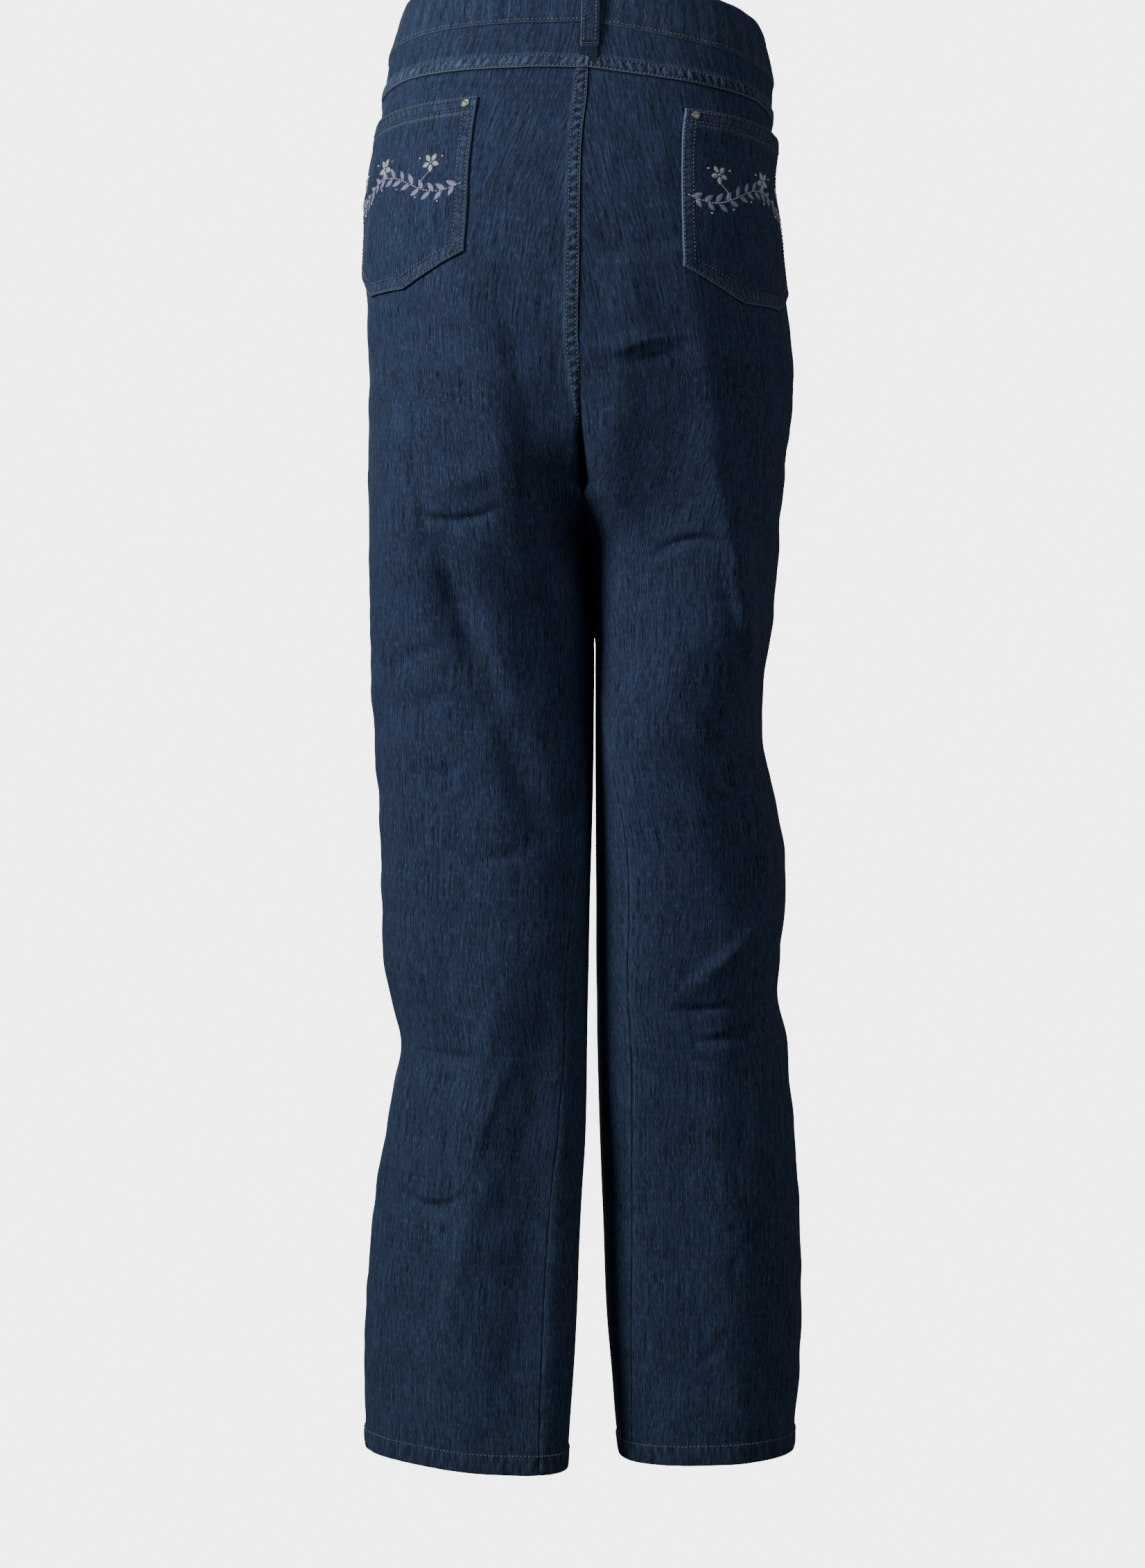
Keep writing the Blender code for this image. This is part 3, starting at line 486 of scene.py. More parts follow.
def shell(node, points, normals, wearAndShade, thick, grain=None, materials=None, coarse=4, finish="denim"):
    # closed thin shell: a fine outer grid, a coarse inner one and a rim of polygons between them
    materials = materials or (denim, denimInside)
    columns, rows = points.shape[0] - 1, points.shape[1] - 1
    number = np.arange((columns + 1) * (rows + 1)).reshape(columns + 1, rows + 1)
    pickColumn = np.append(np.arange(0, columns, coarse), columns)
    pickRow = np.append(np.arange(0, rows, coarse), rows)
    pick = np.ix_(pickColumn, pickRow)
    thick = np.broadcast_to(np.asarray(thick, float), points.shape[:2])[pick]
    thick = thick + extraDepth(points, normals, pickColumn, pickRow, thick)
    inner = points[pick] - normals[pick] * thick[..., None]
    innerNumber = number.size + np.arange(inner.shape[0] * inner.shape[1]).reshape(inner.shape[:2])
    outerFaces = gridQuads(number)
    innerFaces = gridQuads(innerNumber)[:, ::-1]
    rim = []
    edges = ((number[:, 0], innerNumber[:, 0], pickColumn, True),
             (number[-1], innerNumber[-1], pickRow, True),
             (number[:, -1], innerNumber[:, -1], pickColumn, False),
             (number[0], innerNumber[0], pickRow, False))
    for fine, rough, picked, forward in edges:
        for i in range(len(picked) - 1):
            face = fine[picked[i]:picked[i + 1] + 1].tolist()[::-1] + rough[i:i + 2].tolist()
            rim.append(face if forward else face[::-1])
    allPoints = np.concatenate([points.reshape(-1, 3), inner.reshape(-1, 3)])
    a, b, c, d = (allPoints[outerFaces[:, i]] for i in range(4))
    outward = np.sum(np.cross(c - a, d - b) * normals.reshape(-1, 3)[outerFaces[:, 0]]) > 0
    faces = outerFaces.tolist() + innerFaces.tolist() + rim
    if not outward:
        faces = [face[::-1] for face in faces]
    piece = meshFrom(f"jeans_{node}", allPoints, faces, materials)
    if len(materials) > 1:
        index = np.zeros(len(faces), np.int32)
        index[len(outerFaces):len(outerFaces) + len(innerFaces)] = 1
        piece.data.polygons.foreach_set("material_index", index)
    uv = clothMap(points)
    if grain is not None:
        uv[..., 0] = grain
    paintPoints(piece, np.concatenate([uv.reshape(-1, 2), uv[pick].reshape(-1, 2)]),
                np.concatenate([wearAndShade.ravel(), 0.0 * innerNumber.ravel()]))
    piece.data.set_sharp_from_angle(angle=math.radians(62))
    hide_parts(node)


def spread(length, count, near, far):
    # places along a length: fixed distances at both ends and the rest evenly between them
    length = np.asarray(length, float)
    start = np.array(near)[:, None] + 0 * length
    end = length - np.array(far)[::-1, None]
    part = np.linspace(0, 1, count + 2)[1:-1, None]
    return np.concatenate([start, start[-1] + (end[0] - start[-1]) * part, end])


def roll(distance, radius, depth):
    # quarter round: the cloth turns down over the last radius before an edge
    part = np.clip(distance / radius, 0, 1)
    return -depth * (1 - np.sqrt(1 - (1 - part)**2))


def gathers(along, across, pitch, seed):
    # uneven puckers of a stitched seam, about -1 to 1: domes of wandering width with narrow
    # grooves between them, 1 - 2 ((1 - sine) / 2)^2
    wander = waves(along, 0.0 * along, 6 * pitch, seed, 4)
    height = np.clip(0.8 + 0.3 * waves(along, 0.0 * along, 3.3 * pitch, seed + 1, 4), 0.15, 1.2)
    sine = np.sin(2 * np.pi * (along + 0.35 * across) / pitch + 1.6 * wander)
    return (1 - 2 * ((1 - sine) / 2)**2) * height


allowance = {"reach": 5.0, "least": 0.2, "deep": 1.5, "thick": 0.5}


def tucked(grids, axis, last, full=1.0):
    # seam allowance: past a border the cloth drops under its neighbour and runs on a little way,
    # least + (reach - least) * full; grids are points, normals, worn tone with painted shade, thickness,
    # grain and lift
    turn = slice(None, None, -1 if last else 1)
    grids = [np.moveaxis(grid, axis, 0)[turn] for grid in grids]
    points, normals, wearAndShade, thick, grain, lift = grids
    edge, inside = (points[i] - normals[i] * lift[i, :, None] for i in (0, 3))
    away = edge - inside
    away = away - normals[0] * np.sum(away * normals[0], axis=-1, keepdims=True)
    away /= np.linalg.norm(away, axis=-1, keepdims=True)
    run = allowance["least"] + (allowance["reach"] - allowance["least"]) * np.asarray(full, float)
    run = np.broadcast_to(run, edge.shape[:1])[:, None]
    under = edge - allowance["deep"] * normals[0]
    # the allowance under its neighbour is painted fully dark as painted shade
    added = (np.stack([under + away * run, under]), normals[[0, 0]], np.full_like(wearAndShade[:2], -1.0),
             np.full_like(thick[:2], allowance["thick"]), grain[[0, 0]], lift[[0, 0]])
    return [np.moveaxis(np.concatenate([extra, grid])[turn], 0, axis) for extra, grid in zip(added, grids)]


stitchGroove = 0.7       # half width of the furrow a row of stitches pulls into the cloth


def sunkRows(distance, rows):
    return sum(bell(distance, row, stitchGroove) for row in rows)


fellSeam = {"wide": 9.0, "high": 1.1, "rows": (1.6, 8.0), "pitch": 6.2, "pucker": 0.55, "sunk": 0.35}


def fell(distance, along, seed):
    # flat-felled seam: a raised band with a rolled edge and gathers between two rows of stitches
    band = ease((fellSeam["wide"] + 1.2 - distance) / 2.2)
    middle = ease((distance - 1.2) / 1.4) * ease((fellSeam["wide"] - 0.4 - distance) / 1.4)
    puckers = gathers(along, distance, fellSeam["pitch"], seed)
    sunk = sunkRows(distance, fellSeam["rows"])
    lift = fellSeam["high"] * band + roll(distance, 0.8, 0.8) + fellSeam["pucker"] * puckers * middle
    # the rolled edge and gathers' crests are worn lighter; the gathers' troughs and the furrows of both rows
    # of stitches are painted shade
    wearAndShade = 0.95 * ease(1.5 - distance / 1.1) + middle * (0.85 * puckers - 0.1) - 0.7 * sunk
    wearAndShade = wearAndShade + 0.22 * bell(distance, fellSeam["wide"] + 1.0, 1.2)
    return lift - fellSeam["sunk"] * sunk, wearAndShade


def plainSeam(distance, along, seed):
    # pressed-open seam: the edge rolls in, over the soft ridge of its allowance
    uneven = gathers(along, 0.0 * along, 17.0, seed)
    lift = roll(distance, 1.3, 0.9) + (0.3 + 0.1 * uneven) * bell(distance, 4.0, 5.0)
    return lift, 0.12 * bell(distance, 2.0, 1.6) * (0.7 + 0.3 * uneven)


panels = {
    "columns": 100, "legRows": 322, "riseRows": 124, "riseLength": 290.0,
    "seamStops": (0.15, 0.5, 1.0, 1.6, 2.4, 3.8, 5.6, 7.0, 8.0, 8.8, 9.8, 11.4),
    "sideStops": (0.15, 0.5, 1.0, 1.8, 3.0, 4.8),
    "hemStops": (0.0, 0.5, 1.2, 2.6, 4.6, 7.0, 9.4, 11.6, 13.2, 14.2, 14.9, 15.6, 16.6, 18.0),
    "topStops": (0.15, 0.5, 1.0, 1.6, 2.6, 4.6, 6.6, 8.0, 9.2, 10.6),
    "grainKnee": -600.0, "flareFrom": -330.0, "flareTo": -70.0, "flare": 9.0,
}
hem = {"lift": 0.7, "thick": 2.6, "stitch": 14.2, "pitch": 7.4, "fold": 0.4, "foldWearAndShade": 0.22}
pocketMouth = {"start": 0.46, "drop": 72.0, "high": 0.7, "band": 10.6, "pitch": 6.0, "pucker": 0.2}
fly = {"level": -76.0, "long": 152.0, "wide": 36.0, "high": 0.8, "round": 42.0, "rows": (2.0, 8.6)}
stitchPaths = []        # group, points, normals and thread size of each row of stitches


def sewRow(group, points, normals, thread="top"):
    stitchPaths.append((group, points, normals, thread))


def flyWidth(level):
    # straight from the waist, then a quarter ellipse round to the centre seam
    part = np.clip(1 - (level - fly["level"] + fly["long"]) / fly["round"], 0, 1)
    return fly["wide"] * np.sqrt(1 - part**2)


def sewFly():
    # two rows down the fly's edge that curve in to the centre seam
    foot = fly["level"] - fly["long"]
    for row in fly["rows"]:
        down = np.linspace(fly["level"] - 1.5, foot + fly["round"], 90)
        turn = np.linspace(0, np.pi / 2, 50)[1:-3]
        reach = np.concatenate([fly["wide"] - row + 0 * down, (fly["wide"] - row) * np.cos(turn)])
        level = np.concatenate([down, foot + fly["round"] - (fly["round"] - row) * np.sin(turn)])
        points, normals = cloth(left, angleAfter(left, front, level, reach), level, fly["high"] - 0.05)
        sewRow("fly", points, normals)


def panelRelief(side, face, fromSeam, fromSide, fromTop, hemUp, climb, share, across, level):
    # what sewing adds to a panel: hem, felled or plain seams, pocket mouth and fly, with painted shade in
    # furrows and under raised edges
    inLeg = ease((1.02 - climb) / 0.04)
    plainLift, plainWear = plainSeam(fromSeam, hemUp, 21 + side)
    lift, wearAndShade = plainLift * inLeg, plainWear * inLeg
    if side == left:
        seamLift, seamWearAndShade = fell(fromSeam, level, 31 + face)
        if face == front:
            flyShare = ease((level - fly["level"] + fly["long"]) / 12)
            edge = fly["high"] * ease((flyWidth(level) + 1 - fromSeam) / 2.5) + roll(fromSeam, 0.9, 0.9)
            seamLift = seamLift + (edge - seamLift) * flyShare
            seamWearAndShade = seamWearAndShade + (0.7 * ease(1 - fromSeam / 0.9) - seamWearAndShade) * flyShare
        lift, wearAndShade = lift + seamLift * (1 - inLeg), wearAndShade + seamWearAndShade * (1 - inLeg)
    elif face == back:
        # painted shadow beside the centre seam, where the left panel's raised edge stands over this one
        wearAndShade = wearAndShade - 0.9 * bell(fromSeam, 0, 1.3) * (1 - inLeg)
    if face == back:
        # painted shadow along the top of the back panel, under the yoke's raised edge
        wearAndShade = wearAndShade - 0.8 * bell(fromTop, 0, 1.2)
    sideLift, sideWear = plainSeam(fromSide, level, 41 + side)
    lift, wearAndShade = lift + sideLift, wearAndShade + sideWear
    if face == front:
        atMouth = ease((share - pocketMouth["start"]) / 0.03)
        band = ease((pocketMouth["band"] - fromTop) / 2.0)
        sunk = sunkRows(fromTop, fellSeam["rows"]) * fellSeam["sunk"]
        uneven = gathers(across, fromTop, pocketMouth["pitch"], 51 + side)
        middle = ease((fromTop - 2) / 2) * ease((8 - fromTop) / 2)
        lift = lift + atMouth * (pocketMouth["high"] * band + roll(fromTop, 0.9, 0.8) - sunk
                                 + pocketMouth["pucker"] * uneven * middle)
        wearAndShade = wearAndShade + atMouth * (0.7 * ease(1 - fromTop / 0.9) + 0.3 * band * np.clip(uneven, 0, 1) * middle)
    hemBand = ease((form["hemDepth"] + 0.5 - hemUp) / 1.0)
    hemMiddle = ease((hemUp - 0.8) / 3) * ease((form["hemDepth"] + 2 - hemUp) / 4)
    hemFolds = gathers(across, 0.8 * hemUp, hem["pitch"], 61 + side + 2 * face)
    hemSunk = 0.3 * sunkRows(hemUp, (hem["stitch"],))
    lift = lift + (hem["lift"] + roll(hemUp, 1.2, 0.9)) * hemBand
    lift = lift + hem["fold"] * hemFolds * hemMiddle - hemSunk
    # the hem's fold crests are worn lighter and its troughs carry painted shade
    wearAndShade = wearAndShade + hemBand * (hem["foldWearAndShade"] * hemFolds * hemMiddle - 0.1 + 0.3 * ease(1 - hemUp / 1.0))
    # painted shadow in a line just above the hem's turned edge
    wearAndShade = wearAndShade - 0.35 * bell(hemUp, form["hemDepth"] + 0.8, 0.8)
    return lift, wearAndShade


def makePanel(side, face):
    seam = yokeSeam if face == back else waistSeam
    scoop = pocketMouth if face == front else None
    legLength = form["crotch"] - form["hemInner"][side]
    leg = spread([legLength], panels["legRows"], panels["hemStops"], (2.2,))[:, 0] / legLength
    rise = spread([panels["riseLength"]], panels["riseRows"], (0.0,), panels["topStops"])[:, 0]
    climb = np.concatenate([leg, 1 + rise / panels["riseLength"]])
    dense = np.linspace(0, 1, 161)
    angle, level = panelPlaces(side, face, dense[:, None], climb, seam, scoop)
    walked = walkedAlong(basePoint(side, angle, level))
    fromSeam = spread(walked[-1], panels["columns"], panels["seamStops"], panels["sideStops"])
    share = np.stack([np.interp(fromSeam[:, j], walked[:, j], dense) for j in range(len(climb))], axis=1)
    angle, level = panelPlaces(side, face, share, climb, seam, scoop)
    across = fromSeam - walked[-1] / 2
    hemUp = np.minimum(climb, 1) * legLength + 0 * level
    top = level[:, -1:]
    reach = (top - level) / np.maximum(np.sin(np.pi * np.clip(climb - 1.2, 0.05, 0.5)), 0.2)
    fromTop = np.where(climb > 1.5, reach, 1e3)
    half = 0.5 * walked[-1]                     # the grain runs with the side seam above the knee
    knee = int(np.argmin(abs(level[len(level) // 2] - panels["grainKnee"])))
    half[knee:] = half[knee]
    flare = np.clip((level - panels["flareFrom"]) / (panels["flareTo"] - panels["flareFrom"]), 0, 1)
    grain = half - (walked[-1] - fromSeam) + panels["flare"] * flare**2
    lift, wearAndShade = panelRelief(side, face, fromSeam, walked[-1] - fromSeam, fromTop, hemUp, climb + 0 * level,
                             share, across, level)
    points, normals = cloth(side, angle, level, lift)
    inHem = hemUp < form["hemDepth"] + 0.3
    thick = np.where(inHem, hem["thick"], form["cloth"])
    name = f"{faceWord[face]}_panel_{sideWord[side]}"
    grids = [points, normals, wearAndShade, thick, grain, lift + 0 * level]
    if side == right or face == front:
        grids = tucked(grids, 0, False, np.where(climb > 1, side == right, face == front))
    if face == front:
        grids = tucked(grids, 0, True)
    atTop = np.interp(np.linspace(0, 1, len(grids[0])), np.linspace(0, 1, len(share)), share[:, -1])
    grids = tucked(grids, 1, True, (face == back) | (atTop < pocketMouth["start"] - 0.02))
    shell(name, *grids[:5])
    hemRow = panels["hemStops"].index(hem["stitch"])
    sewRow("hems", points[:, hemRow], normals[:, hemRow])
    if side == left:
        rising = climb > 1.02 if face == back else (climb > 1.02) & (level[0] < fly["level"] - fly["long"])
        for row in fellSeam["rows"]:
            column = panels["seamStops"].index(row)
            sewRow(f"{faceWord[face]}_rise", points[column, rising], normals[column, rising])
    if face == front:
        fromEdge = share[:, -1] > pocketMouth["start"] + 0.02
        for row in fellSeam["rows"]:
            rowAt = len(climb) - 1 - panels["topStops"].index(row)
            sewRow("pocket_mouths", points[fromEdge, rowAt], normals[fromEdge, rowAt])


yokes = {
    "columns": 92, "rows": 10, "crossing": 10.2, "stitchTo": 9.4,
    "footStops": (0.15, 0.5, 1.0, 1.6, 2.4, 3.6, 5.0, 6.4, 7.2, 8.0, 8.8, 9.8),
}


def makeYoke(side):
    size = yokes
    turnHigh, turnLow = (sideTurn(sideTop(seam, side)) for seam in (waistSeam, yokeSeam))

    def places(share, up):
        # straight rows between the yoke seam and the waist seam
        angle = math.pi / 2 + (turnLow + (turnHigh - turnLow) * up - math.pi / 2) * share
        low = seamLevel(yokeSeam, side, math.pi / 2 + (turnLow - math.pi / 2) * share)
        high = seamLevel(waistSeam, side, math.pi / 2 + (turnHigh - math.pi / 2) * share)
        return angle, low + (high - low) * up

    dense = np.linspace(0, 1, 161)
    walked = walkedAlong(basePoint(side, *places(dense, 0.3)))
    fromSeam = spread(walked[-1:], size["columns"], panels["seamStops"], panels["sideStops"])
    share = np.interp(fromSeam, walked, dense)
    tall = (places(share, 1.0)[1] - places(share, 0.0)[1])[:, 0]
    fromFoot = spread(tall, size["rows"], size["footStops"], (0.15,)).T
    angle, level = places(share, fromFoot / tall[:, None])
    across = fromSeam + 0 * level
    footLift, footWearAndShade = fell(fromFoot, across, 71 + side)
    lift, wearAndShade = footLift, footWearAndShade
    if side == left:
        crossing = ease((size["crossing"] - fromFoot) / 1.6)       # where the centre seam runs on
        seamLift, seamWearAndShade = fell(across, level, 31 + back)
        lift = np.maximum(lift, seamLift * crossing) + 0.35 * ease((9 - across) / 2) * crossing
        wearAndShade = wearAndShade + (np.maximum(wearAndShade, seamWearAndShade) - wearAndShade) * crossing
    points, normals = cloth(side, angle, level, lift)
    grids = [points, normals, wearAndShade, form["cloth"] + 0 * lift, across + 0.2 * level, lift]
    if side == right:
        grids = tucked(grids, 0, False)
    shell(f"yoke_{sideWord[side]}", *tucked(grids, 1, True)[:5])
    for row in fellSeam["rows"]:
        at = size["footStops"].index(row)
        sewRow("yokes", points[:, at], normals[:, at])
        if side == left:
            column = panels["seamStops"].index(row)
            low = fromFoot[column] < size["stitchTo"]
            sewRow("back_rise", points[column, low], normals[column, low])


waistband = {
    "height": 40.0, "lift": 0.8, "thick": 2.6, "underlap": 18.0, "tuckTurn": 16.0, "tuck": 3.2,
    "footStops": (0.15, 0.5, 1.0, 1.6, 2.5, 3.4, 4.6, 6.4, 8.4),
    "topStops": (0.0, 0.4, 1.0, 1.8, 2.6, 3.6, 5.2),
    "footStitch": 2.5, "topStitch": 2.6, "cell": 2.1, "rows": 8,
    "pitch": 11.0, "pucker": 0.16, "swell": 0.35, "sunk": 0.25,
}


def makeWaistband():
    # one strip: from the hidden end round the right half and the back to the left front
    size = waistband
    quarter = np.radians(np.linspace(-90, 90, 361))
    hidden = np.radians(np.linspace(-90 + size["underlap"], -90, 40))
    runs = ((left, hidden, -size["tuck"]), (right, quarter, 0.0), (left, quarter[::-1], 0.0))
    strips, walkedSoFar = [], 0.0
    rise = spread([size["height"]], size["rows"], size["footStops"], size["topStops"])[:, 0]
    for side, dense, extra in runs:
        middle = seamLevel(waistSeam, side, dense) + 0.5 * size["height"]
        walked = walkedAlong(basePoint(side, dense, middle))
        stops = np.linspace(0, walked[-1], int(walked[-1] / size["cell"]) + 1)
        if strips:
            stops = stops[1:]
        angle = np.interp(stops, walked, dense)[:, None]
        level = seamLevel(waistSeam, side, angle) + rise
        lift = size["lift"] + extra + 0 * level
        if side == right:
            lift = lift - size["tuck"] * ease(1 - (angle + math.pi / 2) / math.radians(size["tuckTurn"]))
        around = walkedSoFar + stops[:, None]
        walkedSoFar += walked[-1]
        fromTop = size["height"] - rise
        uneven = gathers(around, 0 * around, size["pitch"], 81)
        lift = lift + size["swell"] * ease((9 - rise) / 2) + roll(rise, 0.9, 0.9) + roll(fromTop, 1.5, 1.3)
        lift = lift - size["sunk"] * sunkRows(rise, (size["footStitch"],))
        lift = lift - size["sunk"] * sunkRows(fromTop, (size["topStitch"],))
        lift = lift + size["pucker"] * uneven * ease(rise / 3) * ease(fromTop / 6)
        worn = 0.8 * ease(1 - rise / 0.9) + 0.55 * ease(1 - fromTop / 1.3) + 0.1 * np.clip(uneven, 0, 1)
        strips.append((*cloth(side, angle, level, lift), worn + 0 * level))
    points, normals, wearAndShade = (np.concatenate(grids) for grids in zip(*strips))
    for row in (size["footStops"].index(size["footStitch"]),
                len(rise) - 1 - size["topStops"].index(size["topStitch"])):
        sewRow("waistband", points[:, row], normals[:, row])
    shell("waistband", points, normals, wearAndShade, size["thick"])


backPockets = {
    left: {"inner": (78, 82), "mouth": (-96, -101), "foot": -232, "gape": 0.0},
    right: {"inner": (71, 73), "mouth": (-104.7, -111), "foot": -243, "gape": 2.6},
    "width": (150.0, 145.0), "clip": (52.0, 23.0), "thick": 1.4,
    "gapeDepth": 0.35, "gapeAcross": (0.45, 0.95), "turned": 10.4, "edgePitch": 5.2, "mouthPitch": 6.2,
    "edgePucker": 0.22, "mouthPucker": 0.2, "edgeHigh": 0.3, "sunk": 0.28,
    "edgeRows": (1.6, 8.6), "mouthRows": (2.2, 9.6), "hem": 11.5,
    "edgeStops": (0.0, 0.4, 1.0, 1.6, 2.6, 4.2, 6.0, 7.6, 8.6, 9.6, 10.8),
    "mouthStops": (0.0, 0.4, 1.0, 2.2, 3.6, 5.4, 7.4, 9.6, 10.6, 11.6, 12.8),
    "clipColumns": 22, "middleColumns": 14, "rows": 66,
}


def pocketDepth(side, x):
    # from the mouth down to the foot, which is clipped at both corners
    size = backPockets[side]
    clipLong, clipUp = backPockets["clip"]
    corner = np.minimum(x, backPockets["width"][0] - x)
    foot = size["foot"] + clipUp * np.clip(1 - corner / clipLong, 0, 1)
    mouth = size["mouth"][0] + (size["mouth"][1] - size["mouth"][0]) * x / backPockets["width"][0]
    return mouth, mouth - foot


def pocketPoint(side, x, y, lift=0.0):
    # a place on a back pocket: x across from its inner edge and y down from its mouth
    size = backPockets[side]
    wideTop, wideFoot = backPockets["width"]
    mouth, depth = pocketDepth(side, x)
    share, down = x / wideTop, y / depth
    level = mouth - y
    start = size["inner"][0] + (size["inner"][1] - size["inner"][0]) * down
    angle = angleAfter(side, back, level, start + share * (wideTop + (wideFoot - wideTop) * down))
    gapeFrom, gapeTo = backPockets["gapeAcross"]
    opening = ease(1 - down / backPockets["gapeDepth"]) * ease((share - gapeFrom) / (gapeTo - gapeFrom))
    relief, wearAndShade = pocketRelief(side, x, y, depth)
    out = form["layerGap"] + backPockets["thick"] + size["gape"] * opening + relief + lift
    points, normals = cloth(side, angle, level, out)
    return points, normals, wearAndShade


def pocketRelief(side, x, y, depth):
    # turned edges with two rows of stitches, and the mouth's own hem
    size = backPockets
    clipLong, clipUp = size["clip"]
    fromSide = np.minimum(x, size["width"][0] - x)
    slant = np.where(fromSide < clipLong, clipLong / math.hypot(clipLong, clipUp), 1.0)
    fromFoot = (depth - y) * slant
    fromEdge = np.minimum(fromSide, fromFoot)
    turned = ease((size["turned"] - fromEdge) / 1.6) * ease((y - 1) / 3)
    mouthHem = ease((size["hem"] - y) / 1.2)
    along = np.where(fromFoot < fromSide, x, y)
    pucker = gathers(along, fromEdge, size["edgePitch"], 91 + side)
    pucker = pucker * ease((fromEdge - 1.2) / 1.5) * ease((9.5 - fromEdge) / 1.5)
    mouthPucker = gathers(x, y, size["mouthPitch"], 95 + side)
    mouthPucker = mouthPucker * ease((y - 1.5) / 2) * ease((size["turned"] - y) / 1.5)
    sunk = sunkRows(fromEdge, size["edgeRows"]) * ease((y - 8) / 3) + sunkRows(y, size["mouthRows"])
    lift = size["edgeHigh"] * np.maximum(turned, mouthHem) + size["edgePucker"] * pucker * turned
    lift = lift + size["mouthPucker"] * mouthPucker * mouthHem
    lift = lift - size["sunk"] * sunk + roll(np.minimum(fromEdge, y), 0.9, 0.9)
    wearAndShade = 0.95 * ease(1.5 - fromEdge / 0.9) + 0.8 * ease(1.4 - y / 0.9)
    wearAndShade = wearAndShade + 0.3 * np.clip(pucker, 0, 1) * turned + 0.3 * np.clip(mouthPucker, 0, 1) * mouthHem
    # painted shade in the furrows of the rows of stitches
    return lift, wearAndShade - 0.4 * sunk + 0.4 * bell(y, size["hem"] + 0.6, 0.9)


def makeBackPocket(side):
    size = backPockets
    wide = size["width"][0]
    stops = np.array(size["edgeStops"])
    clip = size["clip"][0]
    between = np.linspace(stops[-1], clip, size["clipColumns"])[1:]
    middle = np.linspace(clip, wide / 2, size["middleColumns"])[1:]
    half = np.concatenate([stops, between, middle])
    x = np.concatenate([half, wide - half[-2::-1]])[:, None]
    depth = pocketDepth(side, x[:, 0])[1]
    slope = math.hypot(*size["clip"]) / clip
    footStops = stops * np.where(np.minimum(x, wide - x) < clip, slope, 1.0)
    share = np.linspace(0, 1, size["rows"] + 2)[1:-1]
    mouthStops = np.array(size["mouthStops"]) + 0 * x
    bottom = depth[:, None] - footStops[:, ::-1]
    between = mouthStops[:, -1:] + (bottom[:, :1] - mouthStops[:, -1:]) * share
    y = np.concatenate([mouthStops, between, bottom], axis=1)
    points, normals, wearAndShade = pocketPoint(side, x, y)
    shell(f"back_pocket_{sideWord[side]}", points, normals, wearAndShade, size["thick"])
    for row in size["edgeRows"]:                # down one side, round the foot and up the other
        cut = clip + 0.45 * row
        low = [depthAt(side, x) - row * rise for x, rise in
               ((row, slope), (cut, 1.0), (wide - cut, 1.0), (wide - row, slope))]
        pocketLine(side, [(row, 10), (row, low[0]), (cut, low[1]), (wide - cut, low[2]), (wide - row, low[3]),
                          (wide - row, 10)])
    for row in size["mouthRows"]:
        pocketLine(side, [(1.2, row), (wide - 1.2, row)])


def depthAt(side, x):
    return float(pocketDepth(side, np.array(float(x)))[1])


def pocketLine(side, corners):
    # a row of stitches along straight lines of the flat pocket
    corners = np.array(corners, float)
    walked = walkedAlong(corners)
    at = np.linspace(0, walked[-1], int(walked[-1] / 1.2))
    sewRow("back_pockets", *pocketPoint(side, *readAlong(at, walked, corners).T)[:2])


facings = {"below": 24.0, "lap": 8.0, "start": 0.38, "short": 0.55, "turnDrop": 20.0, "under": 3.0,
           "cells": 44}


def makeFacing(side):
    size = facings
    waist = sideTop(waistSeam, side)
    end = sideTurn(waist - size["turnDrop"])
    start = -math.pi / 2 + size["start"] * (end + math.pi / 2)
    end = end + size["lap"] / abs(smoothRead(sections[side], "outer", waist))
    share = np.linspace(0, 1, size["cells"])[:, None]
    up = np.append(np.linspace(0, 1, size["cells"]), 1.0)
    angle = start + (end - start) * share + 0 * up
    high = seamLevel(waistSeam, side, angle)
    low = high - (size["short"] + (1 - size["short"]) * ease(share)) * (pocketMouth["drop"] + size["below"])
    level = low + (high - low) * up
    level[:, -1] += size["under"]
    points, normals = cloth(side, angle, level, -form["cloth"] - form["layerGap"])
    shell(f"front_pocket_facing_{sideWord[side]}", points, normals, 0 * points[..., 0], form["cloth"])


flyParts = {
    "fly_zip": {"from": -13.0, "to": 13.0, "long": 132.0, "deep": 2.0, "thick": 1.0},
    "fly_shield": {"from": -17.0, "to": 29.0, "long": 150.0, "deep": 3.6, "thick": 1.4},
    "under": 1.0, "columns": 17, "rows": 70,
}


def makeFlyPart(name, material, finish):
    # strips behind the centre front, crossing from the right half to the left
    size = flyParts[name]
    level = fly["level"] - flyParts["under"] - np.linspace(size["long"], 0, flyParts["rows"])
    columns = []
    for reach in np.linspace(size["from"], size["to"], flyParts["columns"]):
        side, run = onHalf(left, reach)
        columns.append(cloth(side, angleAfter(side, front, level, run), level, -size["deep"]))
    points, normals = (np.array(grid) for grid in zip(*columns))
    shell(name, points, normals, 0 * points[..., 0], size["thick"], materials=(material,), finish=finish)


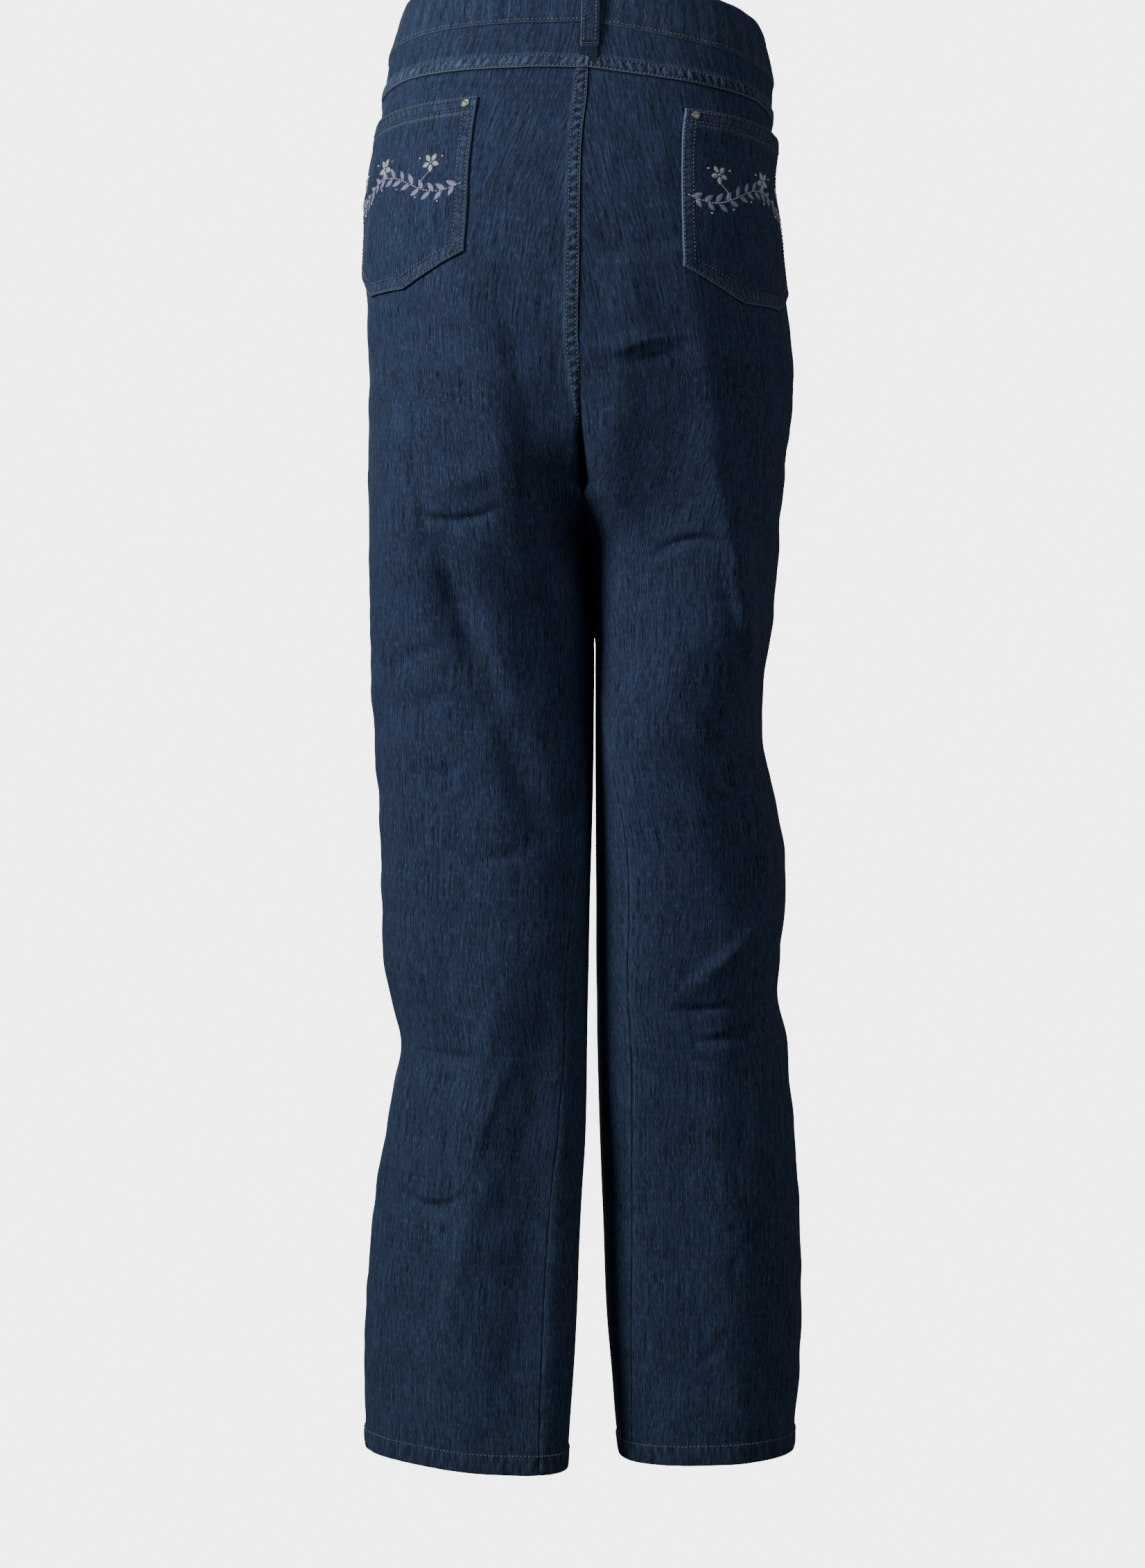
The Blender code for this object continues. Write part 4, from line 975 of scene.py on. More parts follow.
beltLoops = {
    "width": 12.6, "thick": 1.6, "stand": 2.6, "foot": 17.0, "topPast": 1.5, "cells": 64, "coarse": 3,
    # half, face and distance from the centre seam
    "places": {"back": (left, back, 0.0),
               "side_left": (left, front, 158.0), "side_right": (right, front, 158.0),
               "front_left": (left, front, 78.0), "front_right": (right, front, 78.0)},
    # measured from, height above it, clearance, share of the stand, thickness
    "profile": [("foot", -13.0, 0.8, 0.0, 0.8), ("foot", -0.5, 0.8, 0.0, 0.8), ("foot", 0.0, 0.8, 0.0, 2.0),
                ("foot", 5.0, 0.8, 0.0, 2.0), ("waist", -2.0, 1.3, 0.6, 1.6), ("waist", 6.0, 1.3, 1.0, 1.6),
                ("waist", 22.0, 1.3, 1.0, 1.6), ("top", -7.0, 1.3, 0.5, 1.6), ("top", -3.0, 1.3, 0.0, 2.0),
                ("top", 0.0, 1.3, 0.0, 2.0)],
    "stops": (0.0, 0.4, 1.0, 1.6, 2.3, 3.2, 4.6), "stitchIn": 2.3,
}


def makeBeltLoop(word):
    size = beltLoops
    side, face, distance = size["places"][word]
    waist = float(seamLevel(waistSeam, side, angleAfter(side, face, sideTop(waistSeam, side), distance)))
    start = {"foot": waist - size["foot"], "waist": waist,
             "top": waist + waistband["height"] + size["topPast"]}
    stations = np.array([(start[origin] + above, clear + share * size["stand"], thick)
                         for origin, above, clear, share, thick in size["profile"]])
    level = np.unique(np.append(np.linspace(stations[0, 0], stations[-1, 0], size["cells"]), stations[:, 0]))
    before = np.clip(np.searchsorted(stations[:, 0], level) - 1, 0, len(stations) - 2)
    lower, upper = stations[before].T, stations[before + 1].T
    part = ease((level - lower[0]) / (upper[0] - lower[0]))
    stand, thick = (lower[i] + (upper[i] - lower[i]) * part for i in (1, 2))
    half = size["width"] / 2
    stops = np.append(size["stops"], half)
    reach = np.concatenate([stops - half, half - stops[-2::-1]])
    columns = []
    for across in reach:
        sideHere, run = onHalf(side, distance + across)
        fromEdge = half - abs(across)
        lift = stand + thick + roll(fromEdge, 0.8, 0.6) - 0.2 * bell(fromEdge, size["stitchIn"], 0.6)
        columns.append(cloth(sideHere, angleAfter(sideHere, face, level, run), level, lift))
    points, normals = (np.array(grid) for grid in zip(*columns))
    fromEdge = (half - abs(reach))[:, None]
    stub = ease((start["foot"] - 0.5 - level) / 1.0)
    # painted shade on the stub tucked below the loop's foot
    wearAndShade = 0.75 * ease(1 - fromEdge / 0.8) * (1 - stub) + 0.5 * bell(level, start["foot"], 1.2) - 0.65 * stub
    shell(f"belt_loop_{word}", points, normals, wearAndShade, thick, materials=(denim,), coarse=size["coarse"])
    rowAt, run = size["stops"].index(size["stitchIn"]), level > start["foot"] + 1
    for column in (rowAt, len(reach) - 1 - rowAt):
        sewRow("belt_loops", points[column, run], normals[column, run])
    for height in (start["foot"] + 1.4, start["top"] - 1.6):        # bartacks at both ends
        row = int(np.argmin(abs(level - height)))
        sewRow("bartacks", points[1:-1, row], normals[1:-1, row], "tack")


threads = {
    "top": {"pitch": 2.95, "long": 1.75, "wide": 0.9, "high": 0.12, "arch": 0.2},
    "tack": {"pitch": 0.62, "long": 2.5, "wide": 0.6, "high": 0.28, "arch": 0.1},
    "vine": {"pitch": 2.7, "long": 2.35, "wide": 1.1, "high": 0.25, "arch": 0.25},
    "stem": {"pitch": 1.1, "long": 1.5, "wide": 0.85, "high": 0.2, "arch": 0.1},
}


def beads(centres, ways, normals, size):
    # each stitch is a slim bead: three five-sided rings and two tips, arched along its way
    aside = np.cross(normals, ways)
    turn = np.linspace(0, 2 * np.pi, 5, endpoint=False)
    spokes = np.cos(turn)[:, None, None] * aside + 0.8 * np.sin(turn)[:, None, None] * normals
    spokes = spokes * size["wide"] / 2
    rings = []
    for t, fat in ((-0.34, 0.82), (0.0, 1.0), (0.34, 0.82)):
        rise = size["high"] + size["arch"] * (1 - 4 * t * t)
        rings.append(centres + ways * t * size["long"] + normals * rise + fat * spokes)
    tips = [centres + ways * t * size["long"] - 0.1 * normals for t in (-0.5, 0.5)]
    points = np.concatenate(rings + [np.stack(tips)]).transpose(1, 0, 2)      # 17 points to a stitch
    faces = []
    for i in range(5):
        j = (i + 1) % 5
        faces += [(i, j, 5 + j), (i, 5 + j, 5 + i), (5 + i, 5 + j, 10 + j), (5 + i, 10 + j, 10 + i)]
        faces += [(j, i, 15), (10 + i, 10 + j, 16)]
    offsets = 17 * np.arange(len(centres))[:, None, None]
    return points.reshape(-1, 3), (np.array(faces)[None] + offsets).reshape(-1, 3)


def readAlong(at, walked, points):
    # each coordinate of a row of points, read at distances along it
    return np.stack([np.interp(at, walked, values) for values in points.T], axis=1)


def sewAlong(points, normals, kind, draw):
    # stitches at an even pitch along a row, each a little off the line
    size = threads[kind]
    walked = walkedAlong(points)
    count = max(int(walked[-1] / size["pitch"]), 1)
    at = (np.arange(count) + 0.5) * walked[-1] / count
    centre, normal = readAlong(at, walked, points), readAlong(at, walked, normals)
    normal /= np.linalg.norm(normal, axis=1, keepdims=True)
    ahead = readAlong(at + 0.5, walked, points) - readAlong(at - 0.5, walked, points)
    way = ahead - normal * np.sum(ahead * normal, axis=1, keepdims=True)
    way /= np.linalg.norm(way, axis=1, keepdims=True)
    aside = np.cross(normal, way)
    if kind == "tack":
        way, aside = aside, way
    slant = draw.normal(0, 0.05, (count, 1))
    way = way + slant * aside
    way /= np.linalg.norm(way, axis=1, keepdims=True)
    return centre + draw.normal(0, 0.05, (count, 1)) * aside, way, normal, size


def makeStitches():
    draw = np.random.default_rng(17)
    for group in sorted({path[0] for path in stitchPaths}):
        parts = [beads(*sewAlong(*path[1:], draw)) for path in stitchPaths if path[0] == group]
        name, thread = f"stitches_{group}", topThread
        if group == "bartacks":
            name, thread = group, bartackThread
        onePiece(name, parts, thread)
        print("sewn:", group, sum(len(points) for points, faces in parts) // 17, "stitches")


def lathe(node, size, centre, axis):
    # a profile of radius share and height carried round an axis and closed at both poles
    segments = size["segments"]
    axis = axis / np.linalg.norm(axis)
    aside = np.cross(axis, (0, 0, 1.0))
    aside /= np.linalg.norm(aside)
    upward = np.cross(aside, axis)
    turn = np.linspace(0, 2 * np.pi, segments, endpoint=False)
    spokes = np.cos(turn)[:, None] * aside + np.sin(turn)[:, None] * upward
    share, height = np.array(size["profile"]).T
    rings = centre + axis * height[1:-1, None, None] + size["radius"] * share[1:-1, None, None] * spokes
    points = np.concatenate([[centre + axis * height[0]], rings.reshape(-1, 3), [centre + axis * height[-1]]])
    number = 1 + np.arange(rings.shape[0] * segments).reshape(-1, segments)
    after = np.roll(number, -1, axis=1)
    faces = np.stack([number[:-1], after[:-1], after[1:], number[1:]], -1).reshape(-1, 4).tolist()
    faces += [(0, int(a), int(b)) for a, b in zip(after[0], number[0])]
    faces += [(len(points) - 1, int(a), int(b)) for a, b in zip(number[-1], after[-1])]
    a, b, c = points[list(faces[-1])]
    if np.dot(np.cross(b - a, c - a), axis) < 0:
        faces = [tuple(face[::-1]) for face in faces]
    piece = meshFrom(f"jeans_{node}", points, faces, (pewter,))
    piece.data.set_sharp_from_angle(angle=math.radians(40))
    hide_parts(node)


rivets = {
    "radius": 3.2, "across": 8.0, "down": 5.0, "seat": -0.15, "segments": 40,
    "profile": [(0, 0), (1, 0), (1, 0.4), (0.985, 0.62), (0.94, 0.8), (0.87, 0.88), (0.8, 0.84), (0.75, 0.74),
                (0.7, 0.7), (0.5, 0.74), (0.25, 0.79), (0, 0.8)],
}
waistButton = {
    "radius": 8.5, "fromEdge": 15.0, "seat": 1.6, "segments": 64,
    "profile": [(0, 0), (0.5, 0), (0.55, 0.5), (0.58, 1.1), (0.9, 1.35), (0.97, 1.6), (1, 2.0), (0.99, 2.4),
                (0.95, 2.75), (0.89, 2.95), (0.83, 2.9), (0.79, 2.7), (0.74, 2.45), (0.62, 2.4), (0.58, 2.55),
                (0.54, 2.55), (0.5, 2.42), (0.3, 2.5), (0.16, 2.62), (0, 2.66)],
}


def makeMetal():
    for side in (left, right):
        x, y = np.array(rivets["across"]), np.array(rivets["down"])
        lathe(f"rivet_{sideWord[side]}", rivets, *pocketPoint(side, x, y, rivets["seat"])[:2])
    level = fly["level"] + 0.5 * waistband["height"]
    angle = angleAfter(left, front, level, waistButton["fromEdge"])
    lathe("waist_button", waistButton, *cloth(left, angle, level, waistButton["seat"]))


# A leafy sprig with small flowers, in the pocket's own millimetres: x across, y down
sprig = {
    "from": 4.0, "to": 146.0, "middle": 62.0, "sway": 7.0, "wave": 96.0, "rise": -0.05,
    "leafEvery": 9.4, "leafLong": 9.0, "leafWide": 3.9, "leafTurn": 0.72, "leafOff": 1.4, "leafHigh": 0.5,
    "petalOff": 1.2, "petalWide": 0.62, "petalHigh": 0.6, "stalk": 9.0, "stoneOff": 7.4,
    "flowers": [(30.0, 46.0, 6.2), (78.0, 43.0, 7.0), (122.0, 45.0, 6.0)],      # x, y, petal length
    "crystal": 1.05,
}


def stemY(x):
    # a slow sine that rises a little towards the outer edge
    return sprig["middle"] + sprig["sway"] * np.sin(2 * np.pi * x / sprig["wave"]) + sprig["rise"] * x


def lens(side, x, y, heading, long, wide, high):
    # a satin leaf or petal: pointed at both ends, domed across, closed underneath
    s = np.linspace(0, 1, 11)[:, None]
    t = np.linspace(-1, 1, 7)
    halfWide = 0.5 * wide * np.sin(np.pi * s)**0.8 * (1.15 - 0.3 * s)
    alongX, alongY = math.cos(heading), math.sin(heading)
    px = x + alongX * s * long - alongY * halfWide * t
    py = y + alongY * s * long + alongX * halfWide * t
    dome = high * (1 - t**2) * np.sin(np.pi * s)**0.5 + 0.08 * np.sin(26 * s + 3 * np.abs(t))
    return closedSheet(pocketPoint(side, px, py, dome)[0], pocketPoint(side, px, py, -0.25)[0])


def closedSheet(top, bottom):
    # two matching grids joined round their borders
    columns, rows = top.shape[:2]
    number = np.arange(columns * rows).reshape(columns, rows)
    second = columns * rows
    quads = gridQuads(number)
    around = np.concatenate([number[:, 0], number[-1, 1:], number[-2::-1, -1], number[0, -2:0:-1]])
    after = np.roll(around, -1)
    rim = np.stack([after, around, around + second, after + second], -1)
    points = np.concatenate([top.reshape(-1, 3), bottom.reshape(-1, 3)])
    faces = np.concatenate([quads, quads[:, ::-1] + second, rim])
    a, b, c, d = (points[quads[:, i]] for i in range(4))
    upward = np.sum(np.cross(c - a, d - b) * (top.reshape(-1, 3) - bottom.reshape(-1, 3))[quads[:, 0]])
    return points, faces if upward > 0 else faces[:, ::-1]


def crystalAt(side, x, y, radius):
    # a cut stone: an eight-sided skirt and crown under a flat table
    turn = np.linspace(0, 2 * np.pi, 8, endpoint=False)
    normal = pocketPoint(side, np.array(x), np.array(y))[1]
    rings = []
    for share, high in ((1.0, -0.1), (1.0, 0.2), (0.55, 0.85)):
        px, py = x + radius * share * np.cos(turn), y + radius * share * np.sin(turn)
        rings.append(pocketPoint(side, px, py)[0] + normal * high * radius)
    points = np.concatenate(rings)
    faces = [[16 + i for i in range(8)], [7 - i for i in range(8)]]
    for ring in (0, 8):
        faces += [[ring + i, ring + (i + 1) % 8, ring + 8 + (i + 1) % 8, ring + 8 + i] for i in range(8)]
    a, b, c = points[16:19]
    if np.dot(np.cross(b - a, c - a), normal) < 0:
        faces = [face[::-1] for face in faces]
    return points, faces


def onePiece(name, parts, material):
    # one piece from many small closed parts
    allPoints, allFaces, start = [], [], 0
    for points, faces in parts:
        allPoints.append(points)
        allFaces += [[int(v) + start for v in face] for face in faces]
        start += len(points)
    meshFrom(name, np.concatenate(allPoints), allFaces, (material,))


def makeSprig(side):
    draw = np.random.default_rng(40 + side)
    word = sideWord[side]
    leaves, petals, stones, sewn = [], [], [], []
    at = np.arange(sprig["from"] + 5, sprig["to"] - 4, sprig["leafEvery"])
    for i, x in enumerate(at):
        slope = math.atan2(float(stemY(x + 1) - stemY(x - 1)), 2)
        for way in (-1, 1):
            long = sprig["leafLong"] * draw.uniform(0.85, 1.12)
            heading = slope + way * sprig["leafTurn"] * draw.uniform(0.9, 1.1)
            leaves.append(lens(side, x + sprig["leafOff"] * way, float(stemY(x)), heading, long,
                               sprig["leafWide"], sprig["leafHigh"]))
        if i % 2:
            stones.append((x + sprig["leafEvery"] / 2, float(stemY(x + 4)) + sprig["stoneOff"]))
    for x, y, size in sprig["flowers"]:
        for k in range(5):
            heading = 2 * math.pi * (k + 0.25) / 5
            away = sprig["petalOff"]
            petals.append(lens(side, x + away * math.cos(heading), y + away * math.sin(heading), heading,
                               size, sprig["petalWide"] * size, sprig["petalHigh"]))
        stones.append((x, y))
        stalk = np.linspace(0, 1, 12)
        foot = x + sprig["stalk"]
        stalkX = foot - sprig["stalk"] * stalk + 2 * np.sin(np.pi * stalk)
        stalkY = stemY(foot) + (y + size - stemY(foot)) * stalk
        sewn.append(beads(*sewAlong(*pocketPoint(side, stalkX, stalkY)[:2], "stem", draw)))
        stones += [(x - size - 3.2, y - 3.4), (x + size + 3.2, y - 4.2)]
    x = np.linspace(sprig["from"], sprig["to"], 160)
    sewn.append(beads(*sewAlong(*pocketPoint(side, x, stemY(x))[:2], "vine", draw)))
    onePiece(f"embroidered_stem_{word}", sewn, silverThread)
    onePiece(f"embroidered_leaves_{word}", leaves, lavenderThread)
    onePiece(f"embroidered_flowers_{word}", petals, silverThread)
    stones = [crystalAt(side, x, y, sprig["crystal"]) for x, y in stones]
    onePiece(f"crystals_{word}", stones, crystal)


def addNode(tree, kind, inputs=None, **settings):
    # a node with its settings; an input takes a value or another node's socket
    node = tree.nodes.new("ShaderNode" + kind)
    for name, value in settings.items():
        setattr(node, name, value)
    for name, value in (inputs or {}).items():
        if isinstance(value, bpy.types.NodeSocket):
            tree.links.new(value, node.inputs[name])
        else:
            node.inputs[name].default_value = value
    return node


def computed(tree, kind, *values, clamp=False):
    return addNode(tree, "Math", dict(enumerate(values)), operation=kind, use_clamp=clamp).outputs[0]


def mixed(tree, factor, first, second, blend="MIX"):
    return addNode(tree, "Mix", {0: factor, 6: first, 7: second}, data_type="RGBA",
                   blend_type=blend).outputs[2]


def shaded(tree, colour, value):
    # a colour times a plain value
    grey = addNode(tree, "CombineColor", {0: value, 1: value, 2: value}).outputs[0]
    return mixed(tree, 1.0, colour, grey, "MULTIPLY")


def swing(tree, noise, gain):
    # noise about zero, times a gain
    return computed(tree, "MULTIPLY", computed(tree, "SUBTRACT", noise, 0.5), gain)


def stepped(tree, value, low, high):
    # smooth step from 0 at low to 1 at high
    return addNode(tree, "MapRange", {"Value": value, "From Min": low, "From Max": high},
                   interpolation_type="SMOOTHSTEP").outputs[0]


def speckle(tree, place, scale, detail=2.0, offset=0.0):
    # noise on a stretched copy of a place, about 0.5 in the middle
    stretched = addNode(tree, "Mapping", {"Vector": place, "Scale": scale,
                                          "Location": (offset, 1.7 * offset, 0)})
    return addNode(tree, "TexNoise", {"Vector": stretched.outputs[0], "Scale": 1.0, "Detail": detail,
                                      "Roughness": 0.55}).outputs["Fac"]


def newGroup(name, inputs, outputs):
    tree = bpy.data.node_groups.new(name, "ShaderNodeTree")
    for label, (kind, value) in inputs.items():
        socket = tree.interface.new_socket(name=label, in_out="INPUT", socket_type="NodeSocket" + kind)
        if value is not None:
            socket.default_value = value
    for label, kind in outputs.items():
        tree.interface.new_socket(name=label, in_out="OUTPUT", socket_type="NodeSocket" + kind)
    return tree, tree.nodes.new("NodeGroupInput").outputs, tree.nodes.new("NodeGroupOutput").inputs


def tone(red, green, blue):
    return (red, green, blue, 1.0)


def makeWeave():
    # twill seen by its yarns: long uneven warp streaks, flecks of weft, dye that varies, worn ridges, and
    # painted shade where the worn value falls below zero
    tree, given, out = newGroup(
        "denim_weave",
        {"Map": ("Vector", None), "WearAndShade": ("Float", 0.0), "Dye": ("Color", tone(0.03, 0.05, 0.1)),
         "Worn": ("Color", tone(0.16, 0.24, 0.36)), "Streaks": ("Float", 1.0), "Flecks": ("Float", 1.0)},
        {"Color": "Color", "Height": "Float", "Roughness": "Float"})
    place = given["Map"]
    slub = speckle(tree, place, (1900, 115, 1), 2.0)
    longSlub = speckle(tree, place, (1300, 26, 1), 1.0, 3.0)
    yarn = speckle(tree, place, (2600, 520, 1), 1.0, 7.0)
    mottle = speckle(tree, place, (34, 24, 1), 2.0, 11.0)
    streak = computed(tree, "MULTIPLY_ADD", computed(tree, "SUBTRACT", longSlub, 0.5), 0.8,
                      computed(tree, "SUBTRACT", slub, 0.5))
    streak = computed(tree, "MULTIPLY", streak, given["Streaks"])
    value = computed(tree, "MULTIPLY_ADD", streak, 4.2, 1.0)
    value = computed(tree, "ADD", value, swing(tree, yarn, 0.9))
    value = computed(tree, "ADD", value, swing(tree, mottle, 0.35))
    value = computed(tree, "MAXIMUM", value, 0.25)
    colour = shaded(tree, given["Dye"], value)
    for scale, offset, low, yarnTone in (((1000, 45, 1), 19.0, 0.52, tone(0.05, 0.045, 0.125)),      # violet
                                         ((1200, 60, 1), 29.0, 0.54, tone(0.06, 0.058, 0.06))):      # brown
        thread = stepped(tree, speckle(tree, place, scale, 2.0, offset), low, low + 0.14)
        colour = mixed(tree, computed(tree, "MULTIPLY", thread, 0.4), colour, yarnTone)
    fleck = stepped(tree, speckle(tree, place, (1900, 210, 1), 1.0, 37.0), 0.6, 0.72)
    fleck = computed(tree, "MULTIPLY", computed(tree, "MULTIPLY", fleck, 0.5), given["Flecks"])
    colour = mixed(tree, fleck, colour, given["Worn"])
    grain = computed(tree, "MULTIPLY_ADD", computed(tree, "SUBTRACT", slub, 0.5), 1.6, 0.95)
    worn = computed(tree, "MULTIPLY", given["WearAndShade"], grain, clamp=True)
    colour = mixed(tree, worn, colour, given["Worn"])
    # painted shade: a worn value below zero darkens the dye towards near black, for shadow in furrows,
    # troughs and under raised edges
    paintedShade = computed(tree, "MULTIPLY", given["WearAndShade"], -0.8, clamp=True)
    colour = mixed(tree, paintedShade, colour, tone(0.004, 0.006, 0.011))
    tree.links.new(colour, out["Color"])
    twill = addNode(tree, "TexWave", {
        "Vector": addNode(tree, "Mapping", {"Vector": place, "Rotation": (0, 0, 1.1)}).outputs[0],
        "Scale": 420.0, "Distortion": 1.4, "Detail": 1.0, "Detail Scale": 1.5}).outputs["Fac"]
    height = computed(tree, "MULTIPLY_ADD", twill, 0.28, computed(tree, "MULTIPLY", slub, 0.7))
    height = computed(tree, "MULTIPLY_ADD", yarn, 0.55, height)
    tree.links.new(height, out["Height"])
    rough = computed(tree, "MULTIPLY_ADD", slub, -0.12, 0.93)
    tree.links.new(rough, out["Roughness"])
    return tree


weave = makeWeave()


def newMaterial(name):
    material = bpy.data.materials.new(name)
    material.use_nodes = True
    tree = material.node_tree
    return material, tree, tree.nodes["Principled BSDF"]


def finishShader(tree, shader, colour, rough, constants, bump=None):
    # colour, roughness, constants and bump (height, strength, distance) of a material
    tree.links.new(colour, shader.inputs["Base Color"])
    tree.links.new(rough, shader.inputs["Roughness"])
    for label, value in constants.items():
        shader.inputs[label].default_value = value
    if bump:
        bumped = addNode(tree, "Bump", dict(zip(("Height", "Strength", "Distance"), bump)))
        tree.links.new(bumped.outputs[0], shader.inputs["Normal"])


def makeDenim(name, size):
    material, tree, shader = newMaterial(name)
    place = addNode(tree, "UVMap", uv_map="cloth").outputs[0]
    wearAndShade = addNode(tree, "Attribute", attribute_name="wearAndShade").outputs["Fac"]
    woven = addNode(tree, "Group", node_tree=weave)
    for label, socket in (("Map", place), ("WearAndShade", wearAndShade)):
        tree.links.new(socket, woven.inputs[label])
    for label in ("Dye", "Worn", "Streaks", "Flecks"):
        woven.inputs[label].default_value = size[label]
    level = addNode(tree, "SeparateXYZ", {0: addNode(tree, "TexCoord").outputs["Object"]}).outputs["Z"]
    lower = stepped(tree, level, -0.55, -1.08)
    colour = mixed(tree, lower, woven.outputs["Color"],
                   mixed(tree, 1.0, woven.outputs["Color"], size["hemTone"], "MULTIPLY"))
    finishShader(tree, shader, colour, woven.outputs["Roughness"],
                 {"Specular IOR Level": 0.28, "Sheen Weight": size["sheen"], "Sheen Roughness": 0.45,
                  "Sheen Tint": tone(0.55, 0.68, 0.9)}, (woven.outputs["Height"], size["bump"], 0.0004))
    return material


denim = makeDenim("indigo_denim", {
    "Dye": tone(0.0235, 0.045, 0.103), "Worn": tone(0.15, 0.235, 0.37), "Streaks": 1.0, "Flecks": 1.0,
    "hemTone": tone(0.92, 1.0, 0.94), "bump": 0.5, "sheen": 0.07})
denimInside = makeDenim("denim_weft_side", {
    "Dye": tone(0.15, 0.18, 0.22), "Worn": tone(0.34, 0.37, 0.41), "Streaks": 0.7, "Flecks": 1.3,
    "hemTone": tone(1.0, 1.0, 0.92), "bump": 0.6, "sheen": 0.15})


def makeThread(name, colour, rough, sheen, twist):
    # plied yarn: fine slanting bands, with a little dye variation
    material, tree, shader = newMaterial(name)
    place = addNode(tree, "TexCoord").outputs["Object"]
    uneven = speckle(tree, place, (260, 260, 260), 1.0)
    ply = addNode(tree, "TexWave", {"Vector": place, "Scale": twist, "Distortion": 2.0}).outputs["Fac"]
    shade = computed(tree, "MULTIPLY_ADD", uneven, 0.8, computed(tree, "MULTIPLY_ADD", ply, 0.25, 0.48))
    rough = computed(tree, "MULTIPLY_ADD", uneven, 0.1, rough)
    finishShader(tree, shader, shaded(tree, colour, shade), rough, {"Sheen Weight": sheen},
                 (ply, 0.35, 0.0002))
    return material


topThread = makeThread("topstitch_thread", tone(0.25, 0.235, 0.225), 0.75, 0.1, 900)
bartackThread = makeThread("bartack_thread", tone(0.045, 0.03, 0.022), 0.7, 0.1, 900)
silverThread = makeThread("silver_white_thread", tone(0.58, 0.6, 0.66), 0.42, 0.3, 700)
lavenderThread = makeThread("lavender_thread", tone(0.34, 0.33, 0.55), 0.45, 0.3, 700)


def makePewter():
    # cast metal: darker in its hollows, with a fine tumbled grain
    material, tree, shader = newMaterial("tumbled_pewter")
    place = addNode(tree, "TexCoord").outputs["Object"]
    grain = speckle(tree, place, (900, 900, 900), 3.0)
    cloudy = speckle(tree, place, (160, 160, 160), 2.0, 5.0)
    hollow = stepped(tree, addNode(tree, "NewGeometry").outputs["Pointiness"], 0.44, 0.56)
    colour = mixed(tree, hollow, tone(0.07, 0.07, 0.075), tone(0.34, 0.34, 0.345))
    colour = mixed(tree, computed(tree, "MULTIPLY", cloudy, 0.35), colour, tone(0.25, 0.245, 0.24))
    finishShader(tree, shader, colour, computed(tree, "MULTIPLY_ADD", grain, 0.3, 0.16), {"Metallic": 1.0},
                 (grain, 0.2, 0.0001))
    return material


def makeCrystal():
    # foil-backed stone: bright, slightly clouded facets
    material, tree, shader = newMaterial("cut_crystal")
    place = addNode(tree, "TexCoord").outputs["Object"]
    cloudy = speckle(tree, place, (500, 500, 500), 1.0)
    colour = mixed(tree, cloudy, tone(0.75, 0.8, 0.95), tone(0.9, 0.9, 0.92))
    rough = computed(tree, "MULTIPLY_ADD", speckle(tree, place, (900, 900, 900), 1.0, 4.0), 0.08, 0.04)
    finishShader(tree, shader, colour, rough, {"Metallic": 0.85})
    return material


def makeZipTape():
    # herringbone tape with a darker pair of tooth rows along its middle
    material, tree, shader = newMaterial("zip_tape")
    place = addNode(tree, "UVMap", uv_map="cloth").outputs[0]
    bands = addNode(tree, "TexWave", {"Vector": place, "Scale": 420.0, "Distortion": 0.6}).outputs["Fac"]
    across = addNode(tree, "SeparateXYZ", {0: place}).outputs["X"]
    teeth = stepped(tree, computed(tree, "ABSOLUTE", across), 0.0036, 0.0028)
    steps = addNode(tree, "TexWave", {"Vector": place, "Scale": 160.0}, bands_direction="Y").outputs["Fac"]
    metal = computed(tree, "MULTIPLY", teeth, stepped(tree, steps, 0.35, 0.6))
    shade = mixed(tree, bands, tone(0.012, 0.014, 0.022), tone(0.03, 0.034, 0.046))
    tree.links.new(metal, shader.inputs["Metallic"])
    finishShader(tree, shader, mixed(tree, metal, shade, tone(0.4, 0.38, 0.33)),
                 computed(tree, "MULTIPLY_ADD", metal, -0.5, 0.85), {},
                 (computed(tree, "MULTIPLY_ADD", metal, 2.0, bands), 0.5, 0.0003))
    return material


pewter, crystal, zipTape = makePewter(), makeCrystal(), makeZipTape()
print("materials ready")

for side in (left, right):
    for face in (front, back):
        makePanel(side, face)
        print("panel:", sideWord[side], faceWord[face])
for side in (left, right):
    makeYoke(side)
    makeBackPocket(side)
    makeFacing(side)
print("yokes, pockets and facings made")
makeWaistband()
makeFlyPart("fly_shield", denim, "denim")
makeFlyPart("fly_zip", zipTape, "zip_tape")
sewFly()
for word in beltLoops["places"]:
    makeBeltLoop(word)
print("waistband, fly and belt loops made")
makeMetal()
makeStitches()
for side in (left, right):
    makeSprig(side)
print("embroidery made")

